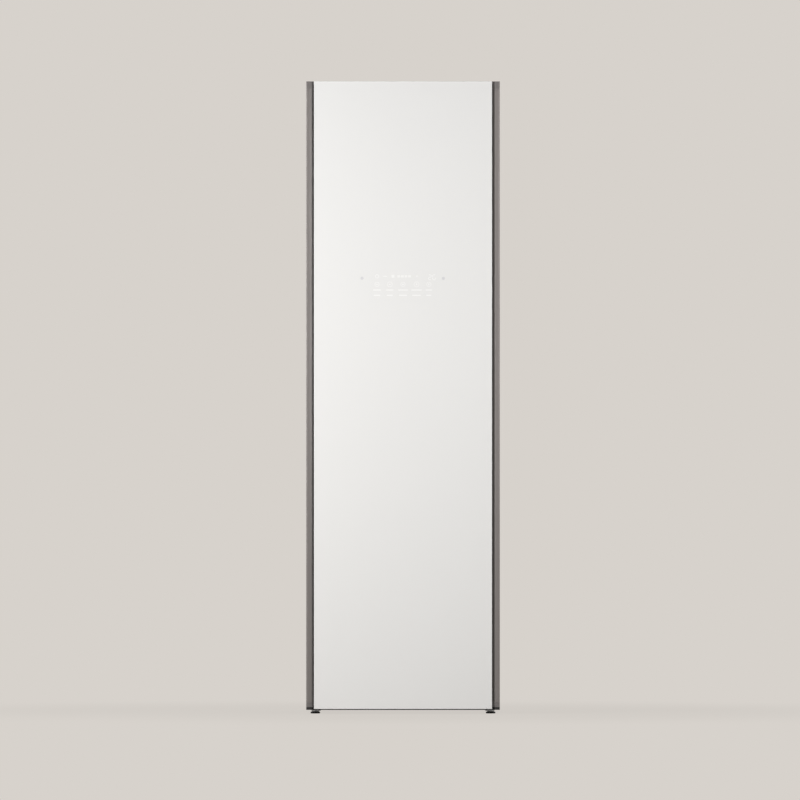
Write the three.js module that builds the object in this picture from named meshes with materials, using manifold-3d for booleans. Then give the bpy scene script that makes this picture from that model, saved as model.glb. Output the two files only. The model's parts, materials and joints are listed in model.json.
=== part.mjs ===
// A free-standing clothes care steam cabinet with a full-height glass door.
// Millimetres, +Z up, the door faces -Y, and the origin is the middle of the footprint on the floor.

import * as THREE from 'three';
import { mergeVertices } from 'three/addons/utils/BufferGeometryUtils.js';
import Module from 'manifold-3d';

const wasm = await Module();
wasm.setup();

// Driving sizes of the whole cabinet, the seats between its pieces and the number of facets on rounds.
const overall = { width: 600, depth: 596, height: 1960 };
const fit = { gap: 0.3, running: 0.4, slide: 2.5, overrun: 5 };
const facets = { fine: 48, round: 24, small: 12, arc: 6 };

// Door: glass front, two side extrusions, two end caps, foam core, inner liner and seal.
const door = { depth: 60, lift: 12.5, capHeight: 23.5, capWall: 3 };
const glass = { edge: 24.1, thickness: 4, sill: 2.5, bevel: 0.8 };
const trim = {
  wall: 3, lipSet: 7, lipWidth: 2.5, corner: 3, scoopDepth: 18, undercut: 7, floorWidth: 4,
  glassFlange: 5, rearReturn: 27.7,
};
const doorLiner = { wall: 3, tongue: 13, tongueThickness: 3 };
const gasket = { height: 7.4, width: 12 };
const display = { width: 300, height: 116, thickness: 5, level: 1330 };

// Hinges of the door: a bracket and a pin at the top and at the bottom.
const hinge = {
  setIn: 12, pinRadius: 4, pinLength: 13, armWidth: 18, armThickness: 4, legLength: 58,
  legThickness: 2.7, seat: 2, pocketSide: 2, pocketFront: 17, boreFloor: 1,
};

// Sheet metal case, its base and the four feet.
const panel = { sheet: 1.2, inset: 2, drop: 8, lift: 6, frontFlange: 42, rearFlange: 22 };
const base = { sheet: 3, frontHeight: 48, sideHeight: 26, postWidth: 40, postSet: 3 };
const foot = {
  height: 14, discRadius: 15, discHeight: 8.5, hexRadius: 11, shankRadius: 4, shankLength: 18,
  sideSet: 28, frontSet: 86, rearSet: 68,
};
const ring = { lap: 6, depth: 6.5, showing: 2 };
const insulation = { side: 42.7, rear: 43.5 };
const cover = { slotLength: 150, slotHeight: 5, slotPitch: 16, slotRows: 9, slotFrom: 110, slotInset: 40 };
const gland = {
  radius: 11, flangeRadius: 16, flangeThickness: 5, length: 17, bore: 4, sideSet: 93, level: 75,
};

// Steam chamber: liner, ceiling, deck and shelf.
const liner = { wall: 1.5, ribDepth: 12, ribHeight: 9.7, ribSet: 32, ribRear: 15 };
const chamber = {
  headroom: 72, ceilingWall: 3, machineHeight: 309, machineDepth: 370, deckSheet: 5,
};
const shelf = {
  level: 634, thickness: 12, sideGap: 4, frontSet: 35, rearSet: 12, rim: 14, slotWidth: 12,
  slotPitch: 26, barWidth: 20,
};
const lamp = { width: 130, depth: 26, thickness: 6, frontSet: 42 };

// Moving hanger: chassis, guide rod, carriage, crank, motor, cover and bar.
const drive = {
  sideSet: 37, plateFront: 40, plateRear: 92, plateThickness: 3, earThickness: 4, earHeight: 34,
  earWidth: 28, rodRadius: 6, rodDrop: 24, rodY: 10, crankY: 62,
};
const carriage = {
  blockSpacing: 240, blockLength: 36, blockWidth: 28, blockHeight: 20, bridgeThickness: 4,
  bridgeWidth: 44, yokeWidth: 60, yokeReach: 26, slotWidth: 10, slotLength: 34,
};
const crank = { discRadius: 25, discThickness: 6, discDrop: 11, throw: 12, pinRadius: 4, shaftRadius: 4 };
const motor = { radius: 30, height: 52, lift: 4 };
const driveCover = { sideSet: 24, front: 62, rear: 112, height: 41, wall: 2.5, slotPlay: 16 };
const hangerBar = {
  endSet: 52, width: 20, thickness: 12, drop: 78, armWidth: 12, armDepth: 16, notchRadius: 5,
  notchPitch: 70, notches: 5,
};
const controlBox = { width: 130, depth: 160, height: 54, sideSet: 17, rear: 70 };

// Water tanks and the bay that they stand in.
const bay = { wall: 3, floorLevel: 80, floorThickness: 4, divider: 6 };
const tank = {
  wall: 2.5, corner: 10, lidThickness: 7.7, rimDrop: 5.7, handleWidth: 110, handleDepth: 7,
  handleHeight: 9, handleDrop: 26, frontSet: 3.4,
};
const lid = { barrelSet: 4.2, gripWidth: 70, gripDepth: 14, gripCut: 4 };

// What lies in the deck: lint filter, scent holder, outlet grille and steam nozzle.
const filter = {
  wider: 10, thickness: 12, depthBelow: 140, frontSet: 33, capLap: 8, capDepth: 26,
  capHeight: 6, frame: 12, recess: 4.5, gripWidth: 60, gripDepth: 10, gripCut: 3,
};
const scent = {
  width: 140, depth: 22, depthBelow: 40, sideSet: 52, rearSet: 26.7, wall: 2, lip: 5, lipHeight: 4,
};
const grille = {
  wider: 20, depth: 56, rearSet: 12.7, lip: 6, lipHeight: 4, slotWidth: 7, slotPitch: 14,
  slotEnd: 7,
};
const nozzle = { behindPort: 38, flangeRadius: 24, neckRadius: 10, bore: 3, rise: 18, reach: 10, lip: 3 };

// Machine room behind the tanks.
const boiler = {
  width: 140, depth: 96, height: 108, corner: 18, sideSet: 32, frontSet: 19, portRadius: 9,
  portHeight: 14, portRearward: 30,
};
const hose = { radius: 8, sides: 10, steps: 12, rise: 40 };
const pump = {
  width: 60, depth: 70, height: 46, fromBoiler: 20, frontSet: 25, headRadius: 20, headHeight: 22,
};
const compressor = {
  radius: 66, height: 150, dome: 26, plate: 156, plateThickness: 4, sideSet: 24, rearSet: 37, neck: 54,
};
const coil = {
  depth: 45, height: 270, sideSet: 17, fromPump: 65, frontSet: 54.5, between: 20, slotPitch: 12,
  slotWidth: 5, slotDepth: 15,
};
const blower = {
  sideSet: 32, rearSet: 39, level: 150, radius: 76, wall: 2.5, ductFront: -2, ductRear: 58,
  inletRadius: 42, footWidth: 20, footHalf: 40, wheelRadius: 56, wheelPlay: 15, bladeDepth: 10,
  bladeShare: 0.8, blades: 18, bladeThickness: 1.6, plate: 3, shaftRadius: 4, motorRadius: 32,
  motorLength: 52, motorFoot: 24, motorPlay: 2, fromCompressor: 88,
};

// Trouser press on the inside of the door.
const press = {
  width: 330, low: 700, ceilingDrop: 302, boardThickness: 5, padThickness: 10.4, corner: 12,
  margin: 8, clipZone: 78,
};
const pressCover = { overlap: 5, thickness: 12, wall: 3, barrelRadius: 5, pinRadius: 2, pinSet: 9 };
const lug = { width: 12, height: 30, fromEnd: 60, clear: 3 };
const latch = { stemRadius: 5, tabWidth: 12, tabLength: 34, tabThickness: 6, side: 17 };
const clip = {
  x: 80, width: 46, axisDrop: 34, axisSet: 12, barrelRadius: 5, jawLength: 26, armLength: 24,
  armRise: 14, thickness: 4, earWidth: 4, pinRadius: 2,
};

// Faces and levels that the pieces share.
const half = overall.width / 2;
const front = -overall.depth / 2;
const back = overall.depth / 2;
const doorBack = front + door.depth;
const doorLow = door.lift;
const doorTop = overall.height;
const glassHalf = half - glass.edge;
const glassSeat = front + glass.thickness + fit.gap;
const trimLow = doorLow + door.capHeight + fit.gap;
const trimTop = doorTop - door.capHeight - fit.gap;
const trimEdge = half - trim.rearReturn;
const doorLinerHalf = trimEdge - fit.gap;
const doorLinerFace = doorBack - doorLiner.wall;

const bodyFront = doorBack + gasket.height + 2 * fit.gap;
const bodyHalf = half - panel.inset;
const bodyTop = overall.height - panel.drop;
const sheetInner = bodyHalf - panel.sheet;
const flangeEdge = bodyHalf - panel.frontFlange;
const flangeBack = bodyFront + panel.sheet + fit.gap;
const rearSeat = back - panel.sheet - fit.gap;
const rearFold = rearSeat - panel.sheet;
const rearInner = rearFold - fit.gap;
const baseUnder = foot.height;
const baseTop = baseUnder + base.sheet;
const onBase = baseTop + fit.gap;
const ringBack = flangeBack + ring.depth;
const linerFront = ringBack + fit.gap;
const linerHalf = sheetInner - insulation.side - 2 * fit.gap;
const linerBack = rearInner - insulation.rear - fit.gap;
const chamberHalf = linerHalf - liner.wall;
const chamberBack = linerBack - liner.wall;
const deckUnder = baseTop + chamber.machineHeight;
const deckTop = deckUnder + chamber.deckSheet;
const onDeck = deckTop + fit.gap;
const ceiling = bodyTop - chamber.headroom;
const ceilingTop = ceiling + chamber.ceilingWall;
const underCeiling = ceiling - fit.gap;
const bayBack = rearInner - chamber.machineDepth;
const hingeX = half - hinge.setIn;
const hingeY = front + door.depth * (3 / 5);
const pressTop = ceiling - press.clipZone - press.ceilingDrop;

// Places in the machine room and on the deck, measured from the walls and the tank bay.
const boilerX = chamberHalf - boiler.sideSet - boiler.width / 2;
const boilerY = bayBack + boiler.frontSet + boiler.depth / 2;
const portY = boilerY + boiler.portRearward;
const pumpX = boilerX - boiler.width / 2 - pump.fromBoiler - pump.width / 2;
const pumpY = bayBack + pump.frontSet + pump.depth / 2;
const coilWidth = chamberHalf - coil.sideSet + pumpX - pump.width / 2 - coil.fromPump;
const coilX = coil.sideSet - chamberHalf + coilWidth / 2;
const evaporatorY = bayBack + coil.frontSet + coil.depth / 2;
const condenserY = evaporatorY + coil.depth + coil.between;
const compressorX = chamberHalf - compressor.sideSet - compressor.plate / 2;
const compressorY = rearInner - compressor.rearSet - compressor.plate / 2;
const motorEnd = compressorX - compressor.plate / 2 - blower.fromCompressor;
const motorFace = motorEnd - blower.motorLength;
const blowerWidth = chamberHalf - blower.sideSet + motorFace - blower.motorPlay;
const blowerX = motorFace - blower.motorPlay - blowerWidth / 2;
const blowerY = rearInner - blower.rearSet - blower.radius;
const filterWidth = coilWidth + filter.wider;
const filterY = bayBack + filter.frontSet;
const grilleWidth = blowerWidth + grille.wider;
const grilleY = chamberBack - grille.rearSet - grille.depth / 2;
const scentX = chamberHalf - scent.sideSet - scent.width / 2;
const scentY = chamberBack - scent.rearSet - scent.depth / 2;
const nozzleY = portY + nozzle.behindPort;
const glandX = bodyHalf - gland.sideSet;

const colours = {
  glass: 0xecebe6, metal: 0x5c5a58, plasticDark: 0x3a3a3b, foam: 0xe9dfb4, linerWhite: 0xe4e4e2,
  seal: 0x4a4a4c, case: 0x8d8e90, steel: 0xb9bcc0, black: 0x1d1d1f, lightGrey: 0xc9cacc,
  tank: 0xa9bccb, copper: 0xb98a5e, pad: 0xb8b4aa, lens: 0xf4f2e8, green: 0x37624a,
};

const outlineAxes = {
  x: [[0, 1, 0], [0, 0, 1], [1, 0, 0]],
  y: [[1, 0, 0], [0, 0, 1], [0, -1, 0]],
  z: [[1, 0, 0], [0, 1, 0], [0, 0, 1]],
};

// A closed three.js geometry as a solid that can be cut and joined.
function solid(geometry) {
  const bare = geometry.clone();
  bare.deleteAttribute('normal');
  bare.deleteAttribute('uv');
  const merged = mergeVertices(bare);
  const vertProperties = new Float32Array(merged.attributes.position.array);
  const triVerts = new Uint32Array(merged.index.array);
  return new wasm.Manifold(new wasm.Mesh({ numProp: 3, vertProperties, triVerts }));
}

// A solid back as a three.js geometry.
function surface(body) {
  const mesh = body.getMesh();
  const geometry = new THREE.BufferGeometry();
  geometry.setAttribute('position', new THREE.BufferAttribute(mesh.vertProperties, 3));
  geometry.setIndex(new THREE.BufferAttribute(mesh.triVerts, 1));
  geometry.computeVertexNormals();
  return geometry;
}

// An upright or lying box between two values on each axis.
function block(x, y, z) {
  const box = new THREE.BoxGeometry(x[1] - x[0], y[1] - y[0], z[1] - z[0]);
  box.translate((x[0] + x[1]) / 2, (y[0] + y[1]) / 2, (z[0] + z[1]) / 2);
  return solid(box);
}

// An outline pushed along an axis. It lies in YZ for x, in XZ for y and in XY for z.
function prism(outline, axis, from, to) {
  const shape = new THREE.Shape(outline.map(([u, v]) => new THREE.Vector2(u, v)));
  const body = new THREE.ExtrudeGeometry(shape, { depth: to - from, steps: 1, bevelEnabled: false });
  const [u, v, w] = outlineAxes[axis].map((direction) => new THREE.Vector3(...direction));
  body.applyMatrix4(new THREE.Matrix4().makeBasis(u, v, w));
  const start = axis === 'y' ? to : from;
  body.translate(axis === 'x' ? start : 0, axis === 'y' ? start : 0, axis === 'z' ? start : 0);
  return solid(body);
}

// Points of an arc from one angle to another, in quarter turns.
function arc([u, v], [radiusU, radiusV], fromQuarter, toQuarter, count) {
  const points = [];
  for (let step = 0; step <= count; step += 1) {
    const angle = (fromQuarter + ((toQuarter - fromQuarter) * step) / count) * (Math.PI / 2);
    points.push([u + radiusU * Math.cos(angle), v + radiusV * Math.sin(angle)]);
  }
  return points;
}

function circle(centre, radius, count) {
  return arc(centre, [radius, radius], 0, 4, count).slice(0, count);
}

// A rectangle with four round corners.
function roundedOutline([u0, u1], [v0, v1], radius) {
  const corners = [[u1 - radius, v0 + radius, 3], [u1 - radius, v1 - radius, 0],
    [u0 + radius, v1 - radius, 1], [u0 + radius, v0 + radius, 2]];
  return corners.flatMap(([u, v, quarter]) => (
    arc([u, v], [radius, radius], quarter, quarter + 1, facets.arc)));
}

function rod(radius, axis, centre, from, to, count = facets.round) {
  return prism(circle(centre, radius, count), axis, from, to);
}

// A profile of radius and height turned about an upright axis.
function turned(profile, [x, y], count = facets.round) {
  const body = new THREE.LatheGeometry(profile.map(([r, z]) => new THREE.Vector2(r, z)), count);
  body.rotateX(Math.PI / 2);
  body.translate(x, y, 0);
  return solid(body);
}

function join(...bodies) {
  return bodies.reduce((sum, body) => sum.add(body));
}

function cut(body, ...tools) {
  return tools.reduce((left, tool) => left.subtract(tool), body);
}

function mirrored(outline, side) {
  return outline.map(([u, v]) => [side * u, v]);
}

function span(side, near, far) {
  return side > 0 ? [near, far] : [-far, -near];
}

function around(centre, size) {
  return [centre - size / 2, centre + size / 2];
}

const cabinet = new THREE.Group();

function add(name, colour, body, roughness = 0.6, metalness = 0, parent = cabinet) {
  const material = new THREE.MeshStandardMaterial({ color: colours[colour], roughness, metalness });
  const mesh = new THREE.Mesh(surface(body), material);
  mesh.name = name;
  parent.add(mesh);
  return mesh;
}

// The front of a door edge: a flat lip, a surface that falls away behind the glass, and the glass seat.
function edgeFace() {
  const lipY = front + trim.lipSet;
  const floorY = lipY + trim.scoopDepth;
  const lipX = half - trim.corner - trim.lipWidth;
  const floorX = glassHalf - trim.undercut;
  const legX = floorX - trim.floorWidth;
  return { lipY, floorY, lipX, floorX, legX };
}

function edgeOutline() {
  const { lipY, floorY, lipX, floorX, legX } = edgeFace();
  const corner = arc([half - trim.corner, lipY + trim.corner], [trim.corner, trim.corner], 4, 3, 3);
  const fall = arc([lipX, floorY], [lipX - floorX, floorY - lipY], 3, 2, facets.arc);
  return [...corner, ...fall, [legX, floorY], [legX, glassSeat]];
}

// Side extrusion of the door, one folded wall all the way round.
function doorTrim(side) {
  const { lipY, floorY, lipX, floorX, legX } = edgeFace();
  const wall = trim.wall;
  const inner = arc([lipX, floorY], [lipX - floorX - wall, floorY - lipY - wall], 2, 3, facets.arc);
  const outline = [
    [half, doorBack], ...edgeOutline(),
    [legX - wall - trim.glassFlange, glassSeat], [legX - wall - trim.glassFlange, glassSeat + wall],
    [legX - wall, glassSeat + wall], [legX - wall, floorY + wall], [floorX + wall, floorY + wall],
    ...inner, [half - wall, lipY + wall], [half - wall, doorBack - wall],
    [trimEdge, doorBack - wall], [trimEdge, doorBack],
  ];
  return prism(mirrored(outline, side), 'z', trimLow, trimTop);
}

// End cap of the door, with the pocket that the hinge arm turns in. low is true for the bottom cap.
function doorCap(low) {
  const [z0, z1] = low ? [doorLow, doorLow + door.capHeight] : [doorTop - door.capHeight, doorTop];
  const right = [[half, doorBack], ...edgeOutline()];
  const left = mirrored(right, -1).reverse();
  const body = prism([...right, ...left], 'z', z0, z1);
  const { legX } = edgeFace();
  const coreHalf = legX - 2 * door.capWall;
  const coreFront = glassSeat + door.capWall;
  const core = low ? [z0 + door.capWall, z1 + fit.overrun] : [z0 - fit.overrun, z1 - door.capWall];
  const hollow = block([-coreHalf, coreHalf], [coreFront, doorBack - door.capWall], core);
  const armRoom = hinge.seat + hinge.armThickness + hinge.seat;
  const pocketLow = low ? z0 - fit.overrun : z1 - armRoom;
  const pocketTop = low ? z0 + armRoom : z1 + fit.overrun;
  const pocketLeft = hingeX - hinge.armWidth / 2 - hinge.pocketSide;
  const pocket = block([pocketLeft, half + fit.overrun],
    [hingeY - hinge.pocketFront, doorBack + fit.overrun], [pocketLow, pocketTop]);
  const boreRadius = hinge.pinRadius + fit.running;
  const boreEnd = hinge.pinLength + hinge.boreFloor;
  const bore = low
    ? rod(boreRadius, 'z', [hingeX, hingeY], pocketTop - fit.gap, pocketTop + boreEnd - hinge.seat)
    : rod(boreRadius, 'z', [hingeX, hingeY], pocketLow - boreEnd + hinge.seat, pocketLow + fit.gap);
  const cap = cut(body, hollow, pocket, bore);
  if (!low) {
    return cap;
  }
  const ledge = block([-glassHalf, glassHalf], [front, glassSeat + door.capWall],
    [doorLow, doorLow + glass.sill]);
  return join(cap, ledge);
}

// Glass front with a fine ground bevel round its face.
function doorGlass() {
  const low = doorLow + glass.sill + fit.gap;
  const chamfer = (a, b) => [[a[0], front + glass.bevel], [a[0] + glass.bevel, front],
    [a[1] - glass.bevel, front], [a[1], front + glass.bevel],
    [a[1], front + glass.thickness], [a[0], front + glass.thickness]];
  const across = prism(chamfer([-glassHalf, glassHalf]), 'z', low, doorTop);
  const upright = prism(chamfer([low, doorTop]).map(([z, y]) => [y, z]), 'x', -glassHalf, glassHalf);
  return across.intersect(upright);
}

function doorFoam() {
  const { legX } = edgeFace();
  const side = legX - trim.wall - trim.glassFlange - fit.gap;
  const rear = doorLinerFace - doorLiner.tongueThickness - 2 * fit.gap;
  const body = block([-side, side], [glassSeat, rear], [trimLow, trimTop]);
  const pocket = block(around(0, display.width + 2 * fit.gap),
    [glassSeat - fit.overrun, glassSeat + display.thickness + fit.gap],
    around(display.level, display.height + 2 * fit.gap));
  return cut(body, pocket);
}

function displayBoard() {
  return block(around(0, display.width), [glassSeat, glassSeat + display.thickness],
    around(display.level, display.height));
}

// Inner face of the door: a flat sheet whose tongue lies in front of the side extrusions' returns.
function doorLinerBody() {
  const face = block([-doorLinerHalf, doorLinerHalf], [doorLinerFace, doorBack], [trimLow, trimTop]);
  const tongueHalf = doorLinerHalf + doorLiner.tongue;
  const tongue = block([-tongueHalf, tongueHalf],
    [doorLinerFace - fit.gap - doorLiner.tongueThickness, doorLinerFace - fit.gap], [trimLow, trimTop]);
  const web = block([-doorLinerHalf, doorLinerHalf],
    [doorLinerFace - fit.gap - doorLiner.tongueThickness, doorLinerFace + doorLiner.wall / 2],
    [trimLow, trimTop]);
  return join(face, tongue, web);
}

function doorGasket() {
  const outer = doorLinerHalf;
  const [low, top] = [trimLow + fit.slide, trimTop - fit.slide];
  const y = [doorBack + fit.gap, doorBack + fit.gap + gasket.height];
  const inner = outer - gasket.width;
  return cut(
    block([-outer, outer], y, [low, top]),
    block([-inner, inner], [y[0] - fit.overrun, y[1] + fit.overrun],
      [low + gasket.width, top - gasket.width]),
  );
}

// Hinge bracket: a leg on the front of the case, an arm under or over the door's cap, and its pin.
function hingeBracket(low) {
  const armZ = low
    ? [doorLow + hinge.seat, doorLow + hinge.seat + hinge.armThickness]
    : [doorTop - hinge.seat - hinge.armThickness, doorTop - hinge.seat];
  const legY = [bodyFront - fit.gap - hinge.legThickness, bodyFront - fit.gap];
  const legZ = low ? [armZ[0], armZ[0] + hinge.legLength] : [armZ[1] - hinge.legLength, armZ[1]];
  const leg = block(around(hingeX, hinge.armWidth), legY, legZ);
  const arm = block(around(hingeX, hinge.armWidth), [hingeY, legY[1]], armZ);
  const tip = rod(hinge.armWidth / 2, 'z', [hingeX, hingeY], ...armZ);
  const root = hinge.armThickness / 2;
  const pinZ = low ? [armZ[1] - root, armZ[1] + hinge.pinLength]
    : [armZ[0] - hinge.pinLength, armZ[0] + root];
  return join(leg, arm, tip, rod(hinge.pinRadius, 'z', [hingeX, hingeY], ...pinZ));
}

// Folded side of the case with a wide front return and a narrow rear return.
function sidePanel(side) {
  const outline = [
    [flangeEdge, bodyFront], [bodyHalf, bodyFront], [bodyHalf, rearSeat],
    [bodyHalf - panel.rearFlange, rearSeat], [bodyHalf - panel.rearFlange, rearFold],
    [sheetInner, rearFold], [sheetInner, bodyFront + panel.sheet], [flangeEdge, bodyFront + panel.sheet],
  ];
  const top = bodyTop - panel.sheet - fit.gap;
  return prism(mirrored(outline, side), 'z', baseUnder + panel.lift, top);
}

function topPanel() {
  const plate = block([-bodyHalf, bodyHalf], [bodyFront, rearSeat], [bodyTop - panel.sheet, bodyTop]);
  const edge = flangeEdge - fit.gap;
  const low = ceiling + ring.lap - ring.showing;
  const header = block([-edge, edge], [bodyFront, bodyFront + panel.sheet], [low, bodyTop]);
  return join(plate, header);
}

function backPanel() {
  return block([-bodyHalf, bodyHalf], [back - panel.sheet, back], [deckTop, bodyTop]);
}

// Service cover behind the machine room, with rows of louvres and the hole for the cable gland.
function machineCover() {
  const y = [back - panel.sheet, back];
  const plate = block([-bodyHalf, bodyHalf], y, [baseUnder + panel.lift, deckTop - fit.gap]);
  const through = [y[0] - fit.overrun, y[1] + fit.overrun];
  const tools = [rod(gland.radius + fit.running, 'y', [glandX, gland.level], ...through)];
  for (let row = 0; row < cover.slotRows; row += 1) {
    const z = cover.slotFrom + row * cover.slotPitch;
    for (const side of [-1, 1]) {
      const x = span(side, cover.slotInset, cover.slotInset + cover.slotLength);
      tools.push(block(x, through, [z, z + cover.slotHeight]));
    }
  }
  return cut(plate, ...tools);
}

function cableGland() {
  const end = back - fit.gap;
  const flangeBackY = rearSeat;
  const body = join(
    rod(gland.radius, 'y', [glandX, gland.level], end - gland.length, end),
    rod(gland.flangeRadius, 'y', [glandX, gland.level],
      flangeBackY - gland.flangeThickness, flangeBackY),
  );
  return cut(body, rod(gland.bore, 'y', [glandX, gland.level],
    end - gland.length - fit.overrun, end + fit.overrun));
}

function footPlaces() {
  const x = half - foot.sideSet;
  const rows = [['front', front + foot.frontSet], ['rear', back - foot.rearSet]];
  return rows.flatMap(([row, y]) => [[`foot_${row}_left`, -x, y], [`foot_${row}_right`, x, y]]);
}

// Base tray with turned-up edges, foot holes and two rear posts that carry the deck.
function baseFrame() {
  const side = sheetInner - fit.gap;
  const edge = flangeEdge - fit.gap;
  const tray = block([-side, side], [flangeBack, rearInner], [baseUnder, baseTop]);
  const nose = block([-edge, edge], [bodyFront, flangeBack + base.sheet], [baseUnder, baseTop]);
  const kick = block([-edge, edge], [bodyFront, bodyFront + panel.sheet],
    [baseUnder, baseUnder + base.frontHeight]);
  const parts = [tray, nose, kick];
  for (const hand of [-1, 1]) {
    parts.push(block(span(hand, side - base.sheet, side), [flangeBack, rearInner],
      [baseUnder, baseUnder + base.sideHeight]));
    const postY = rearInner - base.postSet;
    const postX = side - base.sheet;
    const z = [baseTop - base.sheet / 2, deckUnder - fit.gap];
    parts.push(block(span(hand, postX - base.postWidth, postX), [postY - base.sheet, postY], z));
    parts.push(block(span(hand, postX - base.sheet, postX), [postY - base.postWidth, postY], z));
  }
  const holes = footPlaces().map(([, x, y]) => (
    rod(foot.shankRadius + fit.running, 'z', [x, y], baseUnder - fit.overrun, baseTop + fit.overrun)));
  return cut(join(...parts), ...holes);
}

// Levelling foot: a glide, a hexagon for the spanner and a threaded shank, drawn round its own axis.
function footBody() {
  const edge = foot.discHeight / 6;
  const glide = turned([[0, 0], [foot.discRadius - edge, 0], [foot.discRadius, edge],
    [foot.discRadius, foot.discHeight - edge], [foot.discRadius - edge, foot.discHeight],
    [0, foot.discHeight]], [0, 0]);
  const hex = rod(foot.hexRadius, 'z', [0, 0], foot.discHeight / 2, foot.height - fit.gap, 6);
  const shank = rod(foot.shankRadius, 'z', [0, 0], foot.discHeight, foot.height + foot.shankLength,
    facets.small);
  return join(glide, hex, shank);
}

// Moulded frame round the mouth of the case, behind the steel returns.
function frontFrame() {
  const outer = flangeEdge + ring.lap;
  const inner = flangeEdge - ring.lap;
  const low = baseUnder + base.frontHeight;
  const top = ceiling + ring.lap - ring.showing;
  const y = [flangeBack, ringBack];
  return cut(
    block([-outer, outer], y, [low - ring.lap, top + ring.lap]),
    block([-inner, inner], [y[0] - fit.overrun, y[1] + fit.overrun], [low + ring.lap, top - ring.lap]),
  );
}

function insulationBody() {
  const side = sheetInner - fit.gap;
  const inner = linerHalf + fit.gap;
  const z = [onDeck, ceilingTop];
  return cut(
    block([-side, side], [linerFront, rearInner], z),
    block([-inner, inner], [linerFront - fit.overrun, linerBack + fit.gap],
      [z[0] - fit.overrun, z[1] + fit.overrun]),
  );
}

// Chamber walls in one folded sheet, with a rib on each side that the shelf rests on.
function innerLiner() {
  const z = [onDeck, underCeiling];
  const walls = cut(
    block([-linerHalf, linerHalf], [linerFront, linerBack], z),
    block([-chamberHalf, chamberHalf], [linerFront - fit.overrun, chamberBack],
      [z[0] - fit.overrun, z[1] + fit.overrun]),
  );
  const ribTop = shelf.level - fit.gap;
  const ribs = [-1, 1].map((side) => block(
    span(side, chamberHalf - liner.ribDepth, chamberHalf + liner.wall / 2),
    [linerFront + liner.ribSet, chamberBack - liner.ribRear],
    [ribTop - liner.ribHeight, ribTop],
  ));
  return join(walls, ...ribs);
}

function linerCeiling() {
  const plate = block([-linerHalf, linerHalf], [linerFront, linerBack], [ceiling, ceilingTop]);
  return cut(plate, rod(crank.shaftRadius + fit.slide, 'z', [0, drive.crankY],
    ceiling - fit.overrun, ceilingTop + fit.overrun));
}

// Deck between the machine room and the chamber, with an opening for each piece that it holds.
function chamberFloor() {
  const side = sheetInner - fit.gap;
  const plate = block([-side, side], [bayBack + fit.gap, rearInner], [deckUnder, deckTop]);
  const z = [deckUnder - fit.overrun, deckTop + fit.overrun];
  const hole = (x, y, width, depth) => (
    block(around(x, width + 2 * fit.gap), around(y, depth + 2 * fit.gap), z));
  return cut(plate, hole(coilX, filterY, filterWidth, filter.thickness),
    hole(scentX, scentY, scent.width, scent.depth), hole(blowerX, grilleY, grilleWidth, grille.depth),
    rod(nozzle.neckRadius + fit.running, 'z', [boilerX, nozzleY], ...z));
}

function shelfBody() {
  const side = chamberHalf - shelf.sideGap;
  const y = [linerFront + shelf.frontSet, chamberBack - shelf.rearSet];
  const z = [shelf.level, shelf.level + shelf.thickness];
  const inside = side - shelf.rim;
  const tools = [];
  const rows = [[y[0] + shelf.rim, -shelf.barWidth / 2], [shelf.barWidth / 2, y[1] - shelf.rim]];
  const count = Math.floor((2 * inside + shelf.slotPitch - shelf.slotWidth) / shelf.slotPitch);
  const first = -((count - 1) * shelf.slotPitch) / 2;
  for (let index = 0; index < count; index += 1) {
    for (const row of rows) {
      tools.push(block(around(first + index * shelf.slotPitch, shelf.slotWidth), row,
        [z[0] - fit.overrun, z[1] + fit.overrun]));
    }
  }
  return cut(block([-side, side], y, z), ...tools);
}

function lampLens() {
  const y = linerFront + lamp.frontSet;
  return prism(roundedOutline(around(0, lamp.width), around(y, lamp.depth), lamp.depth / 3),
    'z', underCeiling - lamp.thickness, underCeiling);
}

// Steel chassis under the ceiling whose ears hold the guide rod.
function driveChassis() {
  const top = underCeiling;
  const under = top - drive.plateThickness;
  const plateHalf = chamberHalf - drive.sideSet;
  const plate = block([-plateHalf, plateHalf], [-drive.plateFront, drive.plateRear], [under, top]);
  const ears = [-1, 1].map((side) => block(
    span(side, plateHalf - drive.earThickness, plateHalf),
    around(drive.rodY, drive.earWidth),
    [top - drive.earHeight, under + drive.plateThickness / 2],
  ));
  const hole = rod(crank.shaftRadius + fit.slide, 'z', [0, drive.crankY],
    under - fit.overrun, top + fit.overrun);
  return cut(join(plate, ...ears), hole);
}

function guideRod() {
  const end = chamberHalf - drive.sideSet - drive.earThickness - fit.gap;
  return rod(drive.rodRadius, 'x', [drive.rodY, ceiling - drive.rodDrop], -end, end);
}

// Sliding carriage: two bearing blocks on the rod, a bridge, and a slotted yoke under the crank.
function hangerCarriage() {
  const rodZ = ceiling - drive.rodDrop;
  const blockZ = around(rodZ, carriage.blockHeight);
  const low = blockZ[0];
  const bridgeZ = [low, low + carriage.bridgeThickness];
  const length = carriage.blockSpacing + carriage.blockLength;
  const blocks = [-1, 1].map((side) => block(
    around((side * carriage.blockSpacing) / 2, carriage.blockLength),
    around(drive.rodY, carriage.blockWidth), blockZ));
  const bridge = block(around(0, length), around(drive.rodY, carriage.bridgeWidth), bridgeZ);
  const yoke = block(around(0, carriage.yokeWidth),
    [drive.rodY, drive.crankY + carriage.yokeReach], bridgeZ);
  const bore = rod(drive.rodRadius + fit.running, 'x', [drive.rodY, rodZ], -length, length);
  const slot = block(around(0, carriage.slotWidth), around(drive.crankY, carriage.slotLength),
    [bridgeZ[0] - fit.overrun, bridgeZ[1] + fit.overrun]);
  return cut(join(...blocks, bridge, yoke), bore, slot);
}

function carriageUnder() {
  return ceiling - drive.rodDrop - carriage.blockHeight / 2;
}

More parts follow.
